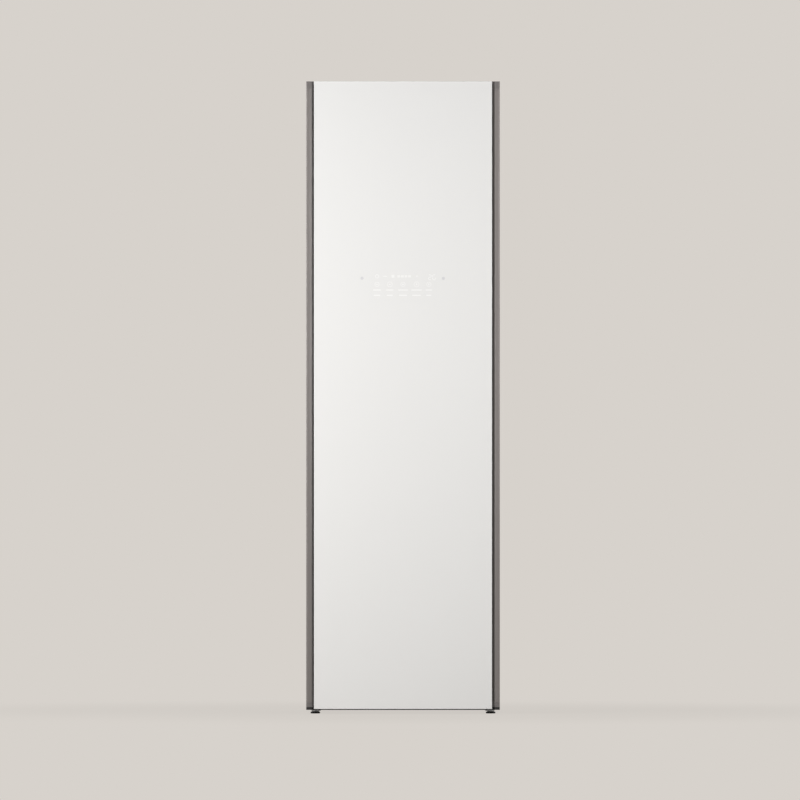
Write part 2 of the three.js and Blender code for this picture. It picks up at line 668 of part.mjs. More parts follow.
// Crank disc with its shaft up to the motor. Its pin ends just above the yoke's slot.
function crankDisc() {
  const top = underCeiling - crank.discDrop + crank.discThickness;
  const disc = rod(crank.discRadius, 'z', [0, drive.crankY], top - crank.discThickness, top);
  const shaft = rod(crank.shaftRadius, 'z', [0, drive.crankY], top - crank.discThickness / 2,
    ceilingTop + motor.lift - fit.gap);
  const pinEnd = carriageUnder() + carriage.bridgeThickness + 2 * fit.gap;
  const pin = rod(crank.pinRadius, 'z', [crank.throw, drive.crankY],
    pinEnd, top - crank.discThickness / 2);
  return join(disc, shaft, pin);
}

// Geared motor on three short feet above the ceiling.
function driveMotor() {
  const low = ceilingTop + motor.lift;
  const can = rod(motor.radius, 'z', [0, drive.crankY], low, low + motor.height);
  const feet = [0, 1, 2].map((index) => {
    const angle = (index * 2 * Math.PI) / 3;
    const reach = motor.radius - 2 * crank.shaftRadius;
    const centre = [reach * Math.cos(angle), drive.crankY + reach * Math.sin(angle)];
    return rod(crank.shaftRadius, 'z', centre, ceilingTop + fit.gap, low + motor.lift, facets.small);
  });
  return join(can, ...feet);
}

// Tray that hides the moving hanger's drive, with two slots for the bar's arms.
function driveCoverBody() {
  const x = [driveCover.sideSet - chamberHalf, chamberHalf - driveCover.sideSet];
  const y = [-driveCover.front, driveCover.rear];
  const low = underCeiling - driveCover.height;
  const wall = driveCover.wall;
  const shell = prism(roundedOutline(x, y, 4 * wall), 'z', low, underCeiling);
  const hollow = prism(roundedOutline([x[0] + wall, x[1] - wall], [y[0] + wall, y[1] - wall], 3 * wall),
    'z', low + wall, underCeiling + fit.overrun);
  const slots = [-1, 1].map((side) => block(
    around((side * carriage.blockSpacing) / 2, hangerBar.armWidth + 2 * driveCover.slotPlay),
    around(drive.rodY, hangerBar.armDepth + 2 * fit.slide), [low - fit.overrun, low + 2 * wall]));
  return cut(shell, hollow, ...slots);
}

// Hanger rail with hook notches on top, on two arms from the carriage.
function hangerRail() {
  const top = ceiling - hangerBar.drop;
  const y = around(drive.rodY, hangerBar.width);
  const rail = prism(roundedOutline(y, [top - hangerBar.thickness, top], hangerBar.thickness / 3),
    'x', hangerBar.endSet - chamberHalf, chamberHalf - hangerBar.endSet);
  const arms = [-1, 1].map((side) => block(
    around((side * carriage.blockSpacing) / 2, hangerBar.armWidth),
    around(drive.rodY, hangerBar.armDepth),
    [top - hangerBar.thickness / 2, carriageUnder() - fit.gap]));
  const tools = [];
  for (let index = 0; index < hangerBar.notches; index += 1) {
    const x = (index - (hangerBar.notches - 1) / 2) * hangerBar.notchPitch;
    if (Math.abs(Math.abs(x) - carriage.blockSpacing / 2) > hangerBar.armWidth) {
      tools.push(rod(hangerBar.notchRadius, 'y', [x, top], y[0] - fit.overrun, y[1] + fit.overrun,
        facets.small));
    }
  }
  return join(cut(rail, ...tools), ...arms);
}

function controlBoxBody() {
  const z = ceilingTop + fit.gap;
  const left = controlBox.sideSet - chamberHalf;
  return block([left, left + controlBox.width],
    [controlBox.rear - controlBox.depth, controlBox.rear], [z, z + controlBox.height]);
}

// Moulded bay with a well for each tank, open towards the door above its floor.
function tankBay() {
  const y = [linerFront, bayBack];
  const wall = bay.wall;
  const inner = linerHalf - wall;
  const side = sheetInner - fit.gap;
  const outer = block([-linerHalf, linerHalf], y, [onBase, deckTop]);
  const wells = block([-inner, inner], [y[0] - fit.overrun, y[1] - wall],
    [bay.floorLevel, deckTop + fit.overrun]);
  const under = block([-inner, inner], [y[0] + wall, y[1] - wall],
    [onBase - fit.overrun, bay.floorLevel - bay.floorThickness]);
  const divider = block(around(0, bay.divider), [y[0], y[1] - wall / 2],
    [bay.floorLevel - bay.floorThickness / 2, deckUnder]);
  const ledges = [-1, 1].map((hand) => (
    block(span(hand, linerHalf - wall / 2, side), y, [deckUnder, deckTop])));
  return join(cut(outer, wells, under), divider, ...ledges);
}

function tankPlace() {
  const inner = linerHalf - bay.wall;
  const x = [bay.divider / 2 + fit.slide, inner - fit.slide];
  const y = [linerFront + tank.frontSet, bayBack - bay.wall - fit.slide];
  const top = deckTop - tank.rimDrop;
  return { x, y, low: bay.floorLevel + fit.gap, rim: top - tank.lidThickness - fit.gap, top };
}

// Water tank, open at the top, with a bar on its front to lift it by.
function tankBody(side) {
  const { x, y, low, rim } = tankPlace();
  const wall = tank.wall;
  const outline = roundedOutline(span(side, ...x), y, tank.corner);
  const inner = roundedOutline(span(side, x[0] + wall, x[1] - wall), [y[0] + wall, y[1] - wall],
    tank.corner - wall);
  const shell = cut(prism(outline, 'z', low, rim), prism(inner, 'z', low + wall, rim + fit.overrun));
  const middle = (side * (x[0] + x[1])) / 2;
  const handleZ = rim - tank.handleDrop;
  const handle = block(around(middle, tank.handleWidth), [y[0] - tank.handleDepth, y[0] + wall / 2],
    [handleZ, handleZ + tank.handleHeight]);
  return join(shell, handle);
}

function lidAxis() {
  const { y, top } = tankPlace();
  return { y: y[1] - lid.barrelSet, z: top - tank.lidThickness / 2 };
}

// Tank lid that turns up about a barrel at its rear edge, with a finger recess at its front edge.
function tankLid(side) {
  const { x, y, top } = tankPlace();
  const axis = lidAxis();
  const low = top - tank.lidThickness;
  const plate = block(span(side, ...x), [y[0], axis.y], [low, top]);
  const barrel = rod(tank.lidThickness / 2, 'x', [axis.y, axis.z], ...span(side, ...x));
  const middle = (side * (x[0] + x[1])) / 2;
  const grip = block(around(middle, lid.gripWidth), [y[0] - fit.overrun, y[0] + lid.gripDepth],
    [low - fit.overrun, low + lid.gripCut]);
  return cut(join(plate, barrel), grip);
}

// Slab filter that stands through the deck, with a framed mesh field on each face and a cap to grip.
function lintFilter() {
  const low = deckTop - filter.depthBelow;
  const x = around(coilX, filterWidth);
  const y = around(filterY, filter.thickness);
  const slab = block(x, y, [low, onDeck + filter.capHeight / 2]);
  const cap = block(around(coilX, filterWidth + 2 * filter.capLap), around(filterY, filter.capDepth),
    [onDeck, onDeck + filter.capHeight]);
  const fieldX = [x[0] + filter.frame, x[1] - filter.frame];
  const fieldZ = [low + filter.frame, deckUnder - filter.frame];
  const faces = [
    block(fieldX, [y[0] - fit.overrun, y[0] + filter.recess], fieldZ),
    block(fieldX, [y[1] - filter.recess, y[1] + fit.overrun], fieldZ),
  ];
  const grips = [-1, 1].map((side) => block(
    around(coilX, filter.gripWidth),
    side > 0 ? [filterY + filter.gripDepth / 4, filterY + filter.gripDepth]
      : [filterY - filter.gripDepth, filterY - filter.gripDepth / 4],
    [onDeck + filter.capHeight - filter.gripCut, onDeck + filter.capHeight + fit.overrun]));
  return cut(join(slab, cap), ...faces, ...grips);
}

// Open scent holder that hangs in the deck by its lip.
function scentHolder() {
  const top = onDeck + scent.lipHeight;
  const well = block(around(scentX, scent.width), around(scentY, scent.depth),
    [deckTop - scent.depthBelow, onDeck + scent.lipHeight / 2]);
  const lip = block(around(scentX, scent.width + 2 * scent.lip),
    around(scentY, scent.depth + 2 * scent.lip),
    [onDeck, top]);
  const inside = block(around(scentX, scent.width - 2 * scent.wall),
    around(scentY, scent.depth - 2 * scent.wall),
    [deckTop - scent.depthBelow + scent.wall, top + fit.overrun]);
  return cut(join(well, lip), inside);
}

function airGrille() {
  const top = onDeck + grille.lipHeight;
  const plate = block(around(blowerX, grilleWidth + 2 * grille.lip),
    around(grilleY, grille.depth + 2 * grille.lip), [onDeck, top]);
  const collar = block(around(blowerX, grilleWidth), around(grilleY, grille.depth),
    [deckUnder, onDeck + grille.lipHeight / 2]);
  const tools = [];
  const slots = Math.floor((grilleWidth - grille.slotPitch) / grille.slotPitch);
  for (let index = 0; index < slots; index += 1) {
    const x = blowerX + (index - (slots - 1) / 2) * grille.slotPitch;
    tools.push(block(around(x, grille.slotWidth), around(grilleY, grille.depth - 2 * grille.slotEnd),
      [deckUnder - fit.overrun, top + fit.overrun]));
  }
  return cut(join(plate, collar), ...tools);
}

// Steam nozzle: a domed rose over the deck and a neck through it.
function steamNozzle() {
  const low = deckUnder - nozzle.reach;
  const dome = nozzle.flangeRadius - nozzle.neckRadius;
  return turned([
    [nozzle.bore, low], [nozzle.neckRadius, low], [nozzle.neckRadius, onDeck],
    [nozzle.flangeRadius, onDeck], [nozzle.flangeRadius, onDeck + nozzle.lip],
    [nozzle.flangeRadius - dome / 4, onDeck + nozzle.rise / 2],
    [nozzle.flangeRadius - dome / 2, onDeck + nozzle.rise * (5 / 6)],
    [nozzle.neckRadius, onDeck + nozzle.rise], [nozzle.bore, onDeck + nozzle.rise], [nozzle.bore, low],
  ], [boilerX, nozzleY]);
}

function steamGenerator() {
  const tub = prism(roundedOutline(around(boilerX, boiler.width), around(boilerY, boiler.depth),
    boiler.corner), 'z', onBase, onBase + boiler.height);
  const port = rod(boiler.portRadius, 'z', [boilerX, portY], onBase + boiler.height / 2,
    onBase + boiler.height + boiler.portHeight);
  return join(tub, port);
}

// Hose from the boiler's port up to the nozzle's neck.
function steamHose() {
  const low = onBase + boiler.height + boiler.portHeight + fit.gap;
  const top = deckUnder - nozzle.reach - fit.gap;
  const route = new THREE.CubicBezierCurve3(
    new THREE.Vector3(boilerX, portY, low),
    new THREE.Vector3(boilerX, portY, low + 2 * hose.rise),
    new THREE.Vector3(boilerX, nozzleY, top - 2 * hose.rise),
    new THREE.Vector3(boilerX, nozzleY, top),
  );
  const section = new THREE.Shape(circle([0, 0], hose.radius, hose.sides)
    .map(([u, v]) => new THREE.Vector2(u, v)));
  return solid(new THREE.ExtrudeGeometry(section, {
    steps: hose.steps, extrudePath: route, bevelEnabled: false,
  }));
}

function waterPump() {
  const body = block(around(pumpX, pump.width), around(pumpY, pump.depth),
    [onBase, onBase + pump.height]);
  const head = rod(pump.headRadius, 'z', [pumpX, pumpY], onBase + pump.height / 2,
    onBase + pump.height + pump.headHeight);
  return join(body, head);
}

// Sealed compressor shell on its mounting plate.
function compressorBody() {
  const low = onBase + compressor.plateThickness / 2;
  const shoulder = onBase + compressor.height;
  const shell = turned([
    [0, low], [compressor.neck, low], [compressor.radius, low + compressor.dome],
    [compressor.radius, shoulder], ...[1, 2, 3].map((step) => {
      const angle = (step * Math.PI) / 8;
      return [compressor.radius * Math.cos(angle), shoulder + compressor.dome * Math.sin(angle)];
    }), [0, shoulder + compressor.dome],
  ], [compressorX, compressorY]);
  const plate = block(around(compressorX, compressor.plate), around(compressorY, compressor.plate),
    [onBase, onBase + compressor.plateThickness]);
  return join(shell, plate);
}

// Heat exchanger block, grooved on both faces into fins.
function heatExchanger(centreY) {
  const x = around(coilX, coilWidth);
  const y = around(centreY, coil.depth);
  const z = [onBase, onBase + coil.height];
  const bars = Math.round(coilWidth / coil.slotPitch);
  const pitch = coilWidth / bars;
  const tools = [];
  for (let index = 1; index < bars; index += 1) {
    const slotX = around(x[0] + index * pitch, coil.slotWidth);
    tools.push(block(slotX, [y[0] - fit.overrun, y[0] + coil.slotDepth], [z[0] + pitch, z[1] - pitch]));
    tools.push(block(slotX, [y[1] - coil.slotDepth, y[1] + fit.overrun], [z[0] + pitch, z[1] - pitch]));
  }
  return cut(block(x, y, z), ...tools);
}

// Blower housing: a round body with a duct up to the outlet grille.
function blowerHousing() {
  const x = around(blowerX, blowerWidth);
  const centre = [blowerY, blower.level];
  const top = deckUnder - fit.gap;
  const duct = [blowerY + blower.ductFront, blowerY + blower.ductRear];
  const wall = blower.wall;
  const outer = join(
    rod(blower.radius, 'x', centre, ...x, facets.fine),
    block(x, duct, [blower.level, top]),
    block(around(blowerX, blower.footWidth), around(blowerY, 2 * blower.footHalf),
      [onBase, blower.level]),
  );
  const inside = [x[0] + wall, x[1] - wall];
  return cut(outer,
    rod(blower.radius - wall, 'x', centre, ...inside, facets.fine),
    block(inside, [duct[0] + wall, duct[1] - wall], [blower.level, top + fit.overrun]),
    rod(blower.inletRadius, 'x', centre, x[0] - fit.overrun, x[1] + fit.overrun));
}

// Drum wheel: a back plate with the shaft, a ring of blades and a front hoop.
function blowerWheel() {
  const centre = [blowerY, blower.level];
  const wheelWidth = blowerWidth - 2 * blower.wheelPlay;
  const x = around(blowerX, wheelWidth);
  const inner = blower.wheelRadius - blower.bladeDepth;
  const plate = rod(blower.wheelRadius, 'x', centre, x[1] - blower.plate, x[1]);
  const hoop = cut(
    rod(blower.wheelRadius, 'x', centre, x[0], x[0] + blower.plate),
    rod(inner, 'x', centre, x[0] - fit.overrun, x[0] + blower.plate + fit.overrun),
  );
  const blades = [];
  for (let index = 0; index < blower.blades; index += 1) {
    const blade = new THREE.BoxGeometry(wheelWidth - blower.plate,
      blower.bladeDepth * blower.bladeShare, blower.bladeThickness);
    blade.rotateX(Math.PI / 6);
    blade.translate(blowerX, (blower.wheelRadius + inner) / 2, 0);
    blade.rotateX((index * 2 * Math.PI) / blower.blades);
    blade.translate(0, blowerY, blower.level);
    blades.push(solid(blade));
  }
  const shaft = rod(blower.shaftRadius, 'x', centre, x[1] - blower.plate / 2,
    motorFace - fit.gap, facets.small);
  return join(plate, hoop, ...blades, shaft);
}

function blowerMotor() {
  const x = [motorFace, motorEnd];
  const centre = [blowerY, blower.level];
  const can = rod(blower.motorRadius, 'x', centre, ...x);
  const leg = block(around((x[0] + x[1]) / 2, blower.motorFoot),
    around(blowerY, 2 * blower.motorRadius - blower.motorFoot), [onBase, blower.level]);
  return join(can, leg);
}

// Hinge line of the press cover.
function coverAxis() {
  return {
    x: press.width / 2 + pressCover.pinSet,
    y: doorBack + fit.gap + press.boardThickness + press.padThickness + pressCover.barrelRadius
      + 2 * fit.gap + lug.clear,
  };
}

function lugPlaces() {
  return [press.low + lug.fromEnd, pressTop - lug.fromEnd - lug.height].map((z) => [z, z + lug.height]);
}

function clipAxis() {
  const top = pressTop + press.clipZone;
  return {
    y: doorBack + fit.gap + press.boardThickness + clip.axisSet,
    z: top - clip.axisDrop,
  };
}

// Press board: a backing plate with a padded field, hinge lugs for the cover and ears for the clips.
function pressPad() {
  const y0 = doorBack + fit.gap;
  const face = y0 + press.boardThickness;
  const x = around(0, press.width);
  const board = prism(roundedOutline(x, [press.low, pressTop + press.clipZone], press.corner),
    'y', y0, face);
  const field = roundedOutline([x[0] + press.margin, x[1] - press.margin],
    [press.low + press.margin, pressTop - press.margin], press.corner);
  const pad = prism(field, 'y', face - press.boardThickness / 2, face + press.padThickness);
  const axis = coverAxis();
  const parts = [board, pad];
  const tools = [];
  for (const z of lugPlaces()) {
    parts.push(block([x[1] - press.corner, axis.x + lug.width / 2], [y0, face], z));
    parts.push(block(around(axis.x, lug.width), [y0, axis.y], z));
    parts.push(rod(lug.width / 2, 'z', [axis.x, axis.y], ...z));
    tools.push(rod(pressCover.pinRadius + fit.running, 'z', [axis.x, axis.y],
      z[0] - fit.overrun, z[1] + fit.overrun, facets.small));
  }
  const turn = clipAxis();
  const earX = clip.width / 2 + fit.running;
  for (const middle of [-clip.x, clip.x]) {
    for (const side of [-1, 1]) {
      const place = side > 0 ? [middle + earX, middle + earX + clip.earWidth]
        : [middle - earX - clip.earWidth, middle - earX];
      parts.push(block(place, [face - press.boardThickness / 2, turn.y],
        around(turn.z, 2 * clip.barrelRadius)));
      parts.push(rod(clip.barrelRadius, 'x', [turn.y, turn.z], ...place));
      tools.push(rod(clip.pinRadius + fit.running, 'x', [turn.y, turn.z],
        place[0] - fit.gap, place[1] + fit.gap, facets.small));
    }
  }
  return cut(join(...parts), ...tools);
}

// Cover of the press: a shallow tray on a barrel, notched where the lugs stand, with its pin in them.
function pressCoverBody() {
  const axis = coverAxis();
  const y = [doorBack + fit.gap + press.boardThickness + press.padThickness + 2 * fit.gap, 0];
  y[1] = y[0] + pressCover.thickness;
  const x = [-press.width / 2 - pressCover.overlap, axis.x];
  const z = [press.low - pressCover.overlap, pressTop];
  const tray = prism(roundedOutline([x[0], x[1]], z, press.corner / 2), 'y', ...y);
  const hollow = block([x[0] + pressCover.wall, press.width / 2 - press.corner],
    [y[0] - fit.overrun, y[1] - pressCover.wall], [z[0] + pressCover.wall, z[1] - pressCover.wall]);
  const barrel = rod(pressCover.barrelRadius, 'z', [axis.x, axis.y], ...z);
  const notches = lugPlaces().map((place) => block(
    [axis.x - lug.width - lug.clear, axis.x + lug.width], [y[0] - fit.overrun, y[1] + 2 * fit.overrun],
    [place[0] - fit.running, place[1] + fit.running]));
  const pin = rod(pressCover.pinRadius, 'z', [axis.x, axis.y], z[0] + pressCover.overlap,
    z[1] - pressCover.overlap, facets.small);
  return join(cut(join(tray, barrel), hollow, ...notches), pin);
}

function latchPlace() {
  return { x: -press.width / 2 - latch.side, z: (press.low + pressTop) / 2 };
}

// Turn latch beside the cover. It hangs free of the cover, and a quarter turn lays it over the edge.
function pressLatch() {
  const { x, z } = latchPlace();
  const coverFace = doorBack + press.boardThickness + press.padThickness + pressCover.thickness
    + 4 * fit.gap;
  const stem = rod(latch.stemRadius, 'y', [x, z], doorBack + fit.gap, coverFace + latch.tabThickness / 2);
  const tab = prism(roundedOutline(around(x, latch.tabWidth),
    [z - latch.tabLength, z + latch.tabWidth / 2], latch.tabWidth / 3), 'y',
  coverFace, coverFace + latch.tabThickness);
  return join(stem, tab);
}

// Spring clip that holds a trouser cuff against the board, bent so that its arm can be pressed.
function trouserClip(middle) {
  const turn = clipAxis();
  const face = doorBack + fit.gap + press.boardThickness;
  const x = around(middle, clip.width);
  const t = clip.thickness;
  const jaw = [
    [face + fit.gap, turn.z - clip.jawLength], [face + fit.gap + t, turn.z - clip.jawLength],
    [turn.y + t, turn.z - t], [turn.y + clip.armRise, turn.z + clip.armLength],
    [turn.y + clip.armRise - t, turn.z + clip.armLength], [turn.y - t, turn.z],
  ];
  const pin = rod(clip.pinRadius, 'x', [turn.y, turn.z], x[0] - clip.earWidth, x[1] + clip.earWidth,
    facets.small);
  return join(prism(jaw, 'x', ...x), rod(clip.barrelRadius, 'x', [turn.y, turn.z], ...x), pin);
}

add('side_panel_left', 'case', sidePanel(-1), 0.5, 0.4);
add('side_panel_right', 'case', sidePanel(1), 0.5, 0.4);
add('top_panel', 'case', topPanel(), 0.5, 0.4);
add('back_panel', 'steel', backPanel(), 0.5, 0.6);
add('machine_cover', 'steel', machineCover(), 0.5, 0.6);
add('base_frame', 'steel', baseFrame(), 0.5, 0.6);
add('front_frame', 'lightGrey', frontFrame());
add('insulation', 'foam', insulationBody(), 0.9);
add('inner_liner', 'linerWhite', innerLiner(), 0.4);
add('liner_ceiling', 'linerWhite', linerCeiling(), 0.4);
add('chamber_floor', 'lightGrey', chamberFloor(), 0.5);
add('shelf', 'lightGrey', shelfBody(), 0.4);
add('lamp_lens', 'lens', lampLens(), 0.3);
add('drive_chassis', 'steel', driveChassis(), 0.4, 0.7);
add('guide_rod', 'steel', guideRod(), 0.2, 0.9);
add('hanger_carriage', 'lightGrey', hangerCarriage());
add('crank_disc', 'steel', crankDisc(), 0.3, 0.8);
add('drive_motor', 'black', driveMotor(), 0.5, 0.3);
add('drive_cover', 'lightGrey', driveCoverBody(), 0.5);
add('hanger_bar', 'steel', hangerRail(), 0.3, 0.8);
add('control_box', 'green', controlBoxBody());
add('tank_bay', 'lightGrey', tankBay(), 0.5);
add('fill_tank', 'tank', tankBody(1), 0.2);
add('fill_tank_lid', 'lightGrey', tankLid(1), 0.4);
add('drain_tank', 'tank', tankBody(-1), 0.2);
add('drain_tank_lid', 'lightGrey', tankLid(-1), 0.4);
add('lint_filter', 'lightGrey', lintFilter(), 0.5);
add('aroma_holder', 'plasticDark', scentHolder(), 0.5);
add('air_grille', 'lightGrey', airGrille(), 0.5);
add('steam_nozzle', 'plasticDark', steamNozzle(), 0.4);
add('steam_generator', 'steel', steamGenerator(), 0.4, 0.6);
add('steam_hose', 'black', steamHose(), 0.7);
add('water_pump', 'black', waterPump(), 0.6);
add('compressor', 'black', compressorBody(), 0.5, 0.5);
add('evaporator', 'copper', heatExchanger(evaporatorY), 0.4, 0.7);
add('condenser', 'copper', heatExchanger(condenserY), 0.4, 0.7);
add('blower_housing', 'plasticDark', blowerHousing());
add('blower_wheel', 'lightGrey', blowerWheel());
add('blower_motor', 'steel', blowerMotor(), 0.4, 0.6);
add('cable_gland', 'black', cableGland(), 0.7);
add('hinge_bracket_top', 'steel', hingeBracket(false), 0.4, 0.7);
add('hinge_bracket_bottom', 'steel', hingeBracket(true), 0.4, 0.7);

for (const [name, x, y] of footPlaces()) {
  add(name, 'black', footBody(), 0.6).position.set(x, y, 0);
}

const doorGroup = new THREE.Group();
cabinet.add(doorGroup);
add('door_glass', 'glass', doorGlass(), 0.08, 0, doorGroup);
add('door_trim_left', 'metal', doorTrim(-1), 0.4, 0.8, doorGroup);
add('door_trim_right', 'metal', doorTrim(1), 0.4, 0.8, doorGroup);
add('door_top_cap', 'plasticDark', doorCap(false), 0.5, 0.2, doorGroup);
add('door_bottom_cap', 'plasticDark', doorCap(true), 0.5, 0.2, doorGroup);
add('door_foam', 'foam', doorFoam(), 0.9, 0, doorGroup);
add('door_liner', 'linerWhite', doorLinerBody(), 0.4, 0, doorGroup);
add('door_gasket', 'seal', doorGasket(), 0.8, 0, doorGroup);
add('display_board', 'green', displayBoard(), 0.6, 0, doorGroup);
add('press_pad', 'pad', pressPad(), 0.9, 0, doorGroup);
add('press_cover', 'lightGrey', pressCoverBody(), 0.4, 0, doorGroup);
add('press_latch', 'plasticDark', pressLatch(), 0.5, 0, doorGroup);
add('trouser_clip_left', 'plasticDark', trouserClip(-clip.x), 0.5, 0, doorGroup);
add('trouser_clip_right', 'plasticDark', trouserClip(clip.x), 0.5, 0, doorGroup);

export default cabinet;
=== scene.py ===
# %% [markdown]
# # A clothes care steam cabinet
# A tall slim case with one glass-fronted door, a steam chamber with a moving hanger, two water tanks and a
# machine room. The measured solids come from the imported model, and this script gives them their looks: the
# camera and the light first, then the finishes, then the pieces that need a softer or finer shape.

import json
import math

import bmesh
import bpy
from mathutils import Matrix, Vector
from mathutils.geometry import interpolate_bezier


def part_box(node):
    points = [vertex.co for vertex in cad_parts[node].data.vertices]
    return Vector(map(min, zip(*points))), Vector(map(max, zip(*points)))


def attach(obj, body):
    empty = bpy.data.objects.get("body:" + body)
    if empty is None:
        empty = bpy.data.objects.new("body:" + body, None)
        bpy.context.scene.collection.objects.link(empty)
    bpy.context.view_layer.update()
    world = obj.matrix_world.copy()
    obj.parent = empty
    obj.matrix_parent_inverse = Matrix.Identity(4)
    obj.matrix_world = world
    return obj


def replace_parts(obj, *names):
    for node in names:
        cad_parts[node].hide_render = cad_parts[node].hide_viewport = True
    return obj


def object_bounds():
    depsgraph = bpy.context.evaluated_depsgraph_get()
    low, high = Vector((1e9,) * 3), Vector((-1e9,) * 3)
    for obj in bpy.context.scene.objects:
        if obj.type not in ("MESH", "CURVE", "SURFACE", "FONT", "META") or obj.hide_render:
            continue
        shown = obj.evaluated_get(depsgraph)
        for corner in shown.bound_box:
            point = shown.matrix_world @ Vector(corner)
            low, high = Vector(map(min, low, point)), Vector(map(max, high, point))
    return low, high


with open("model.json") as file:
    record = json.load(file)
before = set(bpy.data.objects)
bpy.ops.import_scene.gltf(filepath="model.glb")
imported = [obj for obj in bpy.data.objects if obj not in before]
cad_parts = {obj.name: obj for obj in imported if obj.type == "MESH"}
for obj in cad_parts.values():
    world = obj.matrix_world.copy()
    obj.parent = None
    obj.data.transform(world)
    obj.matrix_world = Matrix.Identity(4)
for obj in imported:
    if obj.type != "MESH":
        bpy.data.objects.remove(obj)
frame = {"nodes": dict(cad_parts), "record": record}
cad_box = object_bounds()
nodes = frame["nodes"]
MM = 0.001
print(f"{len(nodes)} nodes, box {[round(v, 3) for v in cad_box[0]]} to {[round(v, 3) for v in cad_box[1]]}")

# %% [markdown]
# ## Camera
# The photograph shows the door dead straight, with no side, top or floor line, so it was taken with a very
# long lens from far away. A near-parallel view needs either an orthographic camera or a perspective one far
# off. The second is used, because it still works when the view moves round the object. The lens follows
# from the width of the picture at the door and the distance.

# %% Camera
PICTURE_WIDTH = 2.4785
CAMERA_DISTANCE = 50.0
CAMERA_HEIGHT = 0.9727
CAMERA_SIDE = -0.0093


def placed(name, data):
    """Puts data into the scene as an object."""
    made = bpy.data.objects.new(name, data)
    bpy.context.collection.objects.link(made)
    return made


camera_data = bpy.data.cameras.new("camera")
camera_data.sensor_width = 36
camera_data.lens = camera_data.sensor_width * CAMERA_DISTANCE / PICTURE_WIDTH
camera_data.clip_end = 200
camera = placed("camera", camera_data)
camera.location = (CAMERA_SIDE, cad_box[0].y - CAMERA_DISTANCE, CAMERA_HEIGHT)
camera.rotation_euler = (math.radians(90), 0, 0)
bpy.context.scene.camera = camera
bpy.context.scene.view_settings.view_transform = "Standard"
print(f"lens {camera_data.lens:.0f} mm")

# %% [markdown]
# ## Backdrop and light
# A plain warm grey backdrop fills the picture. The camera, and what mirrors or glass show, see that colour
# in the world itself, while everything else gets a neutral sky from it. Two upright lamps stand in front,
# outside the part of the room that the glass mirrors, so the sheet stays clear while the rounded edges of
# the door catch them. The left one is brighter, as in the photograph. Two large ones at the sides, one
# above and one behind light the other faces softly. The floor is clear from below, so that the underside
# can be looked at. A few helpers add the shader nodes, so that each node is one line with its inputs.

# %% Colours as they are written on a screen
def tone(red, green, blue):
    channels = []
    for value in (red, green, blue):
        share = value / 255
        channels.append(share / 12.92 if share <= 0.04045 else ((share + 0.055) / 1.055) ** 2.4)
    return (*channels, 1.0)


BACKDROP = tone(215, 210, 204)
SKY = (1.0, 0.985, 0.97, 1.0)
SKY_STRENGTH = 0.24
print("backdrop and sky colours ready")

# %% Shader node helpers
def add_node(tree, kind, inputs=(), **settings):
    """Adds a shader node. A socket among the inputs is linked, and a plain value is set."""
    node = tree.nodes.new("ShaderNode" + kind)
    for label, value in settings.items():
        setattr(node, label, value)
    for label, value in dict(inputs).items():
        if isinstance(value, bpy.types.NodeSocket):
            tree.links.new(value, node.inputs[label])
        else:
            node.inputs[label].default_value = value
    return node


def maths(tree, operation, first, second):
    return add_node(tree, "Math", {0: first, 1: second}, operation=operation).outputs[0]


def mixed(tree, factor, first, second):
    return add_node(tree, "MixShader", {"Fac": factor, 1: first.outputs[0], 2: second.outputs[0]})


print("shader node helpers ready")

# %% World
def direct_rays(tree):
    """A value of 1 where the camera, a mirror or clear glass looks straight at the shader."""
    path = add_node(tree, "LightPath").outputs
    total = maths(tree, "MAXIMUM", path["Is Camera Ray"], path["Is Glossy Ray"])
    return maths(tree, "MAXIMUM", total, path["Is Transmission Ray"])


world = bpy.data.worlds.new("studio")
bpy.context.scene.world = world
world.use_nodes = True
tree = world.node_tree
tree.nodes.clear()
sky = add_node(tree, "Background", {"Color": SKY, "Strength": SKY_STRENGTH})
paper = add_node(tree, "Background", {"Color": BACKDROP})
add_node(tree, "OutputWorld", {"Surface": mixed(tree, direct_rays(tree), sky, paper).outputs[0]})
print("world ready")

# %% Lamps: place, target, width and height in metres, and power in watts
LAMPS = {
    "front_left": ((-2.0, -2.3, 1.45), (0, -0.3, 1.3), 0.5, 1.0, 38.5),
    "front_right": ((0.95, -2.5, 1.5), (0, -0.3, 1.35), 0.4, 0.9, 13),
    "left": ((-3.0, -1.0, 1.7), (0, 0, 1.2), 1.6, 2.2, 40),
    "right": ((3.0, -0.6, 1.8), (0, 0, 1.2), 1.6, 2.2, 27),
    "above": ((0, 0.4, 4.2), (0, 0, 1.0), 2.4, 2.4, 22),
    "behind": ((0.8, 3.4, 2.4), (0, 0.2, 1.0), 2.6, 2.0, 38),
}
for name, (place, target, width, height, power) in LAMPS.items():
    lamp_data = bpy.data.lights.new(name, "AREA")
    lamp_data.shape = "RECTANGLE"
    lamp_data.size = width
    lamp_data.size_y = height
    lamp_data.energy = power
    lamp = placed(name, lamp_data)
    lamp.location = place
    lamp.rotation_euler = (Vector(target) - Vector(place)).to_track_quat("-Z", "Y").to_euler()
    lamp.visible_camera = False
print(f"{len(LAMPS)} lamps")

# %% Floor
FLOOR_RADIUS = 9.0
FLOOR_REAL = 0.75
FLOOR_FADE = 2.2
FLOOR_PLAIN = 0.88
FLOOR_COLOUR = tone(180, 176, 171)


def loose_object(name, mesh):
    """Makes an object of a bmesh."""
    data = bpy.data.meshes.new(name)
    mesh.to_mesh(data)
    mesh.free()
    return placed(name, data)


floor_mesh = bmesh.new()
bmesh.ops.create_circle(floor_mesh, cap_ends=True, radius=FLOOR_RADIUS, segments=96)
floor = loose_object("floor", floor_mesh)
print("floor laid")

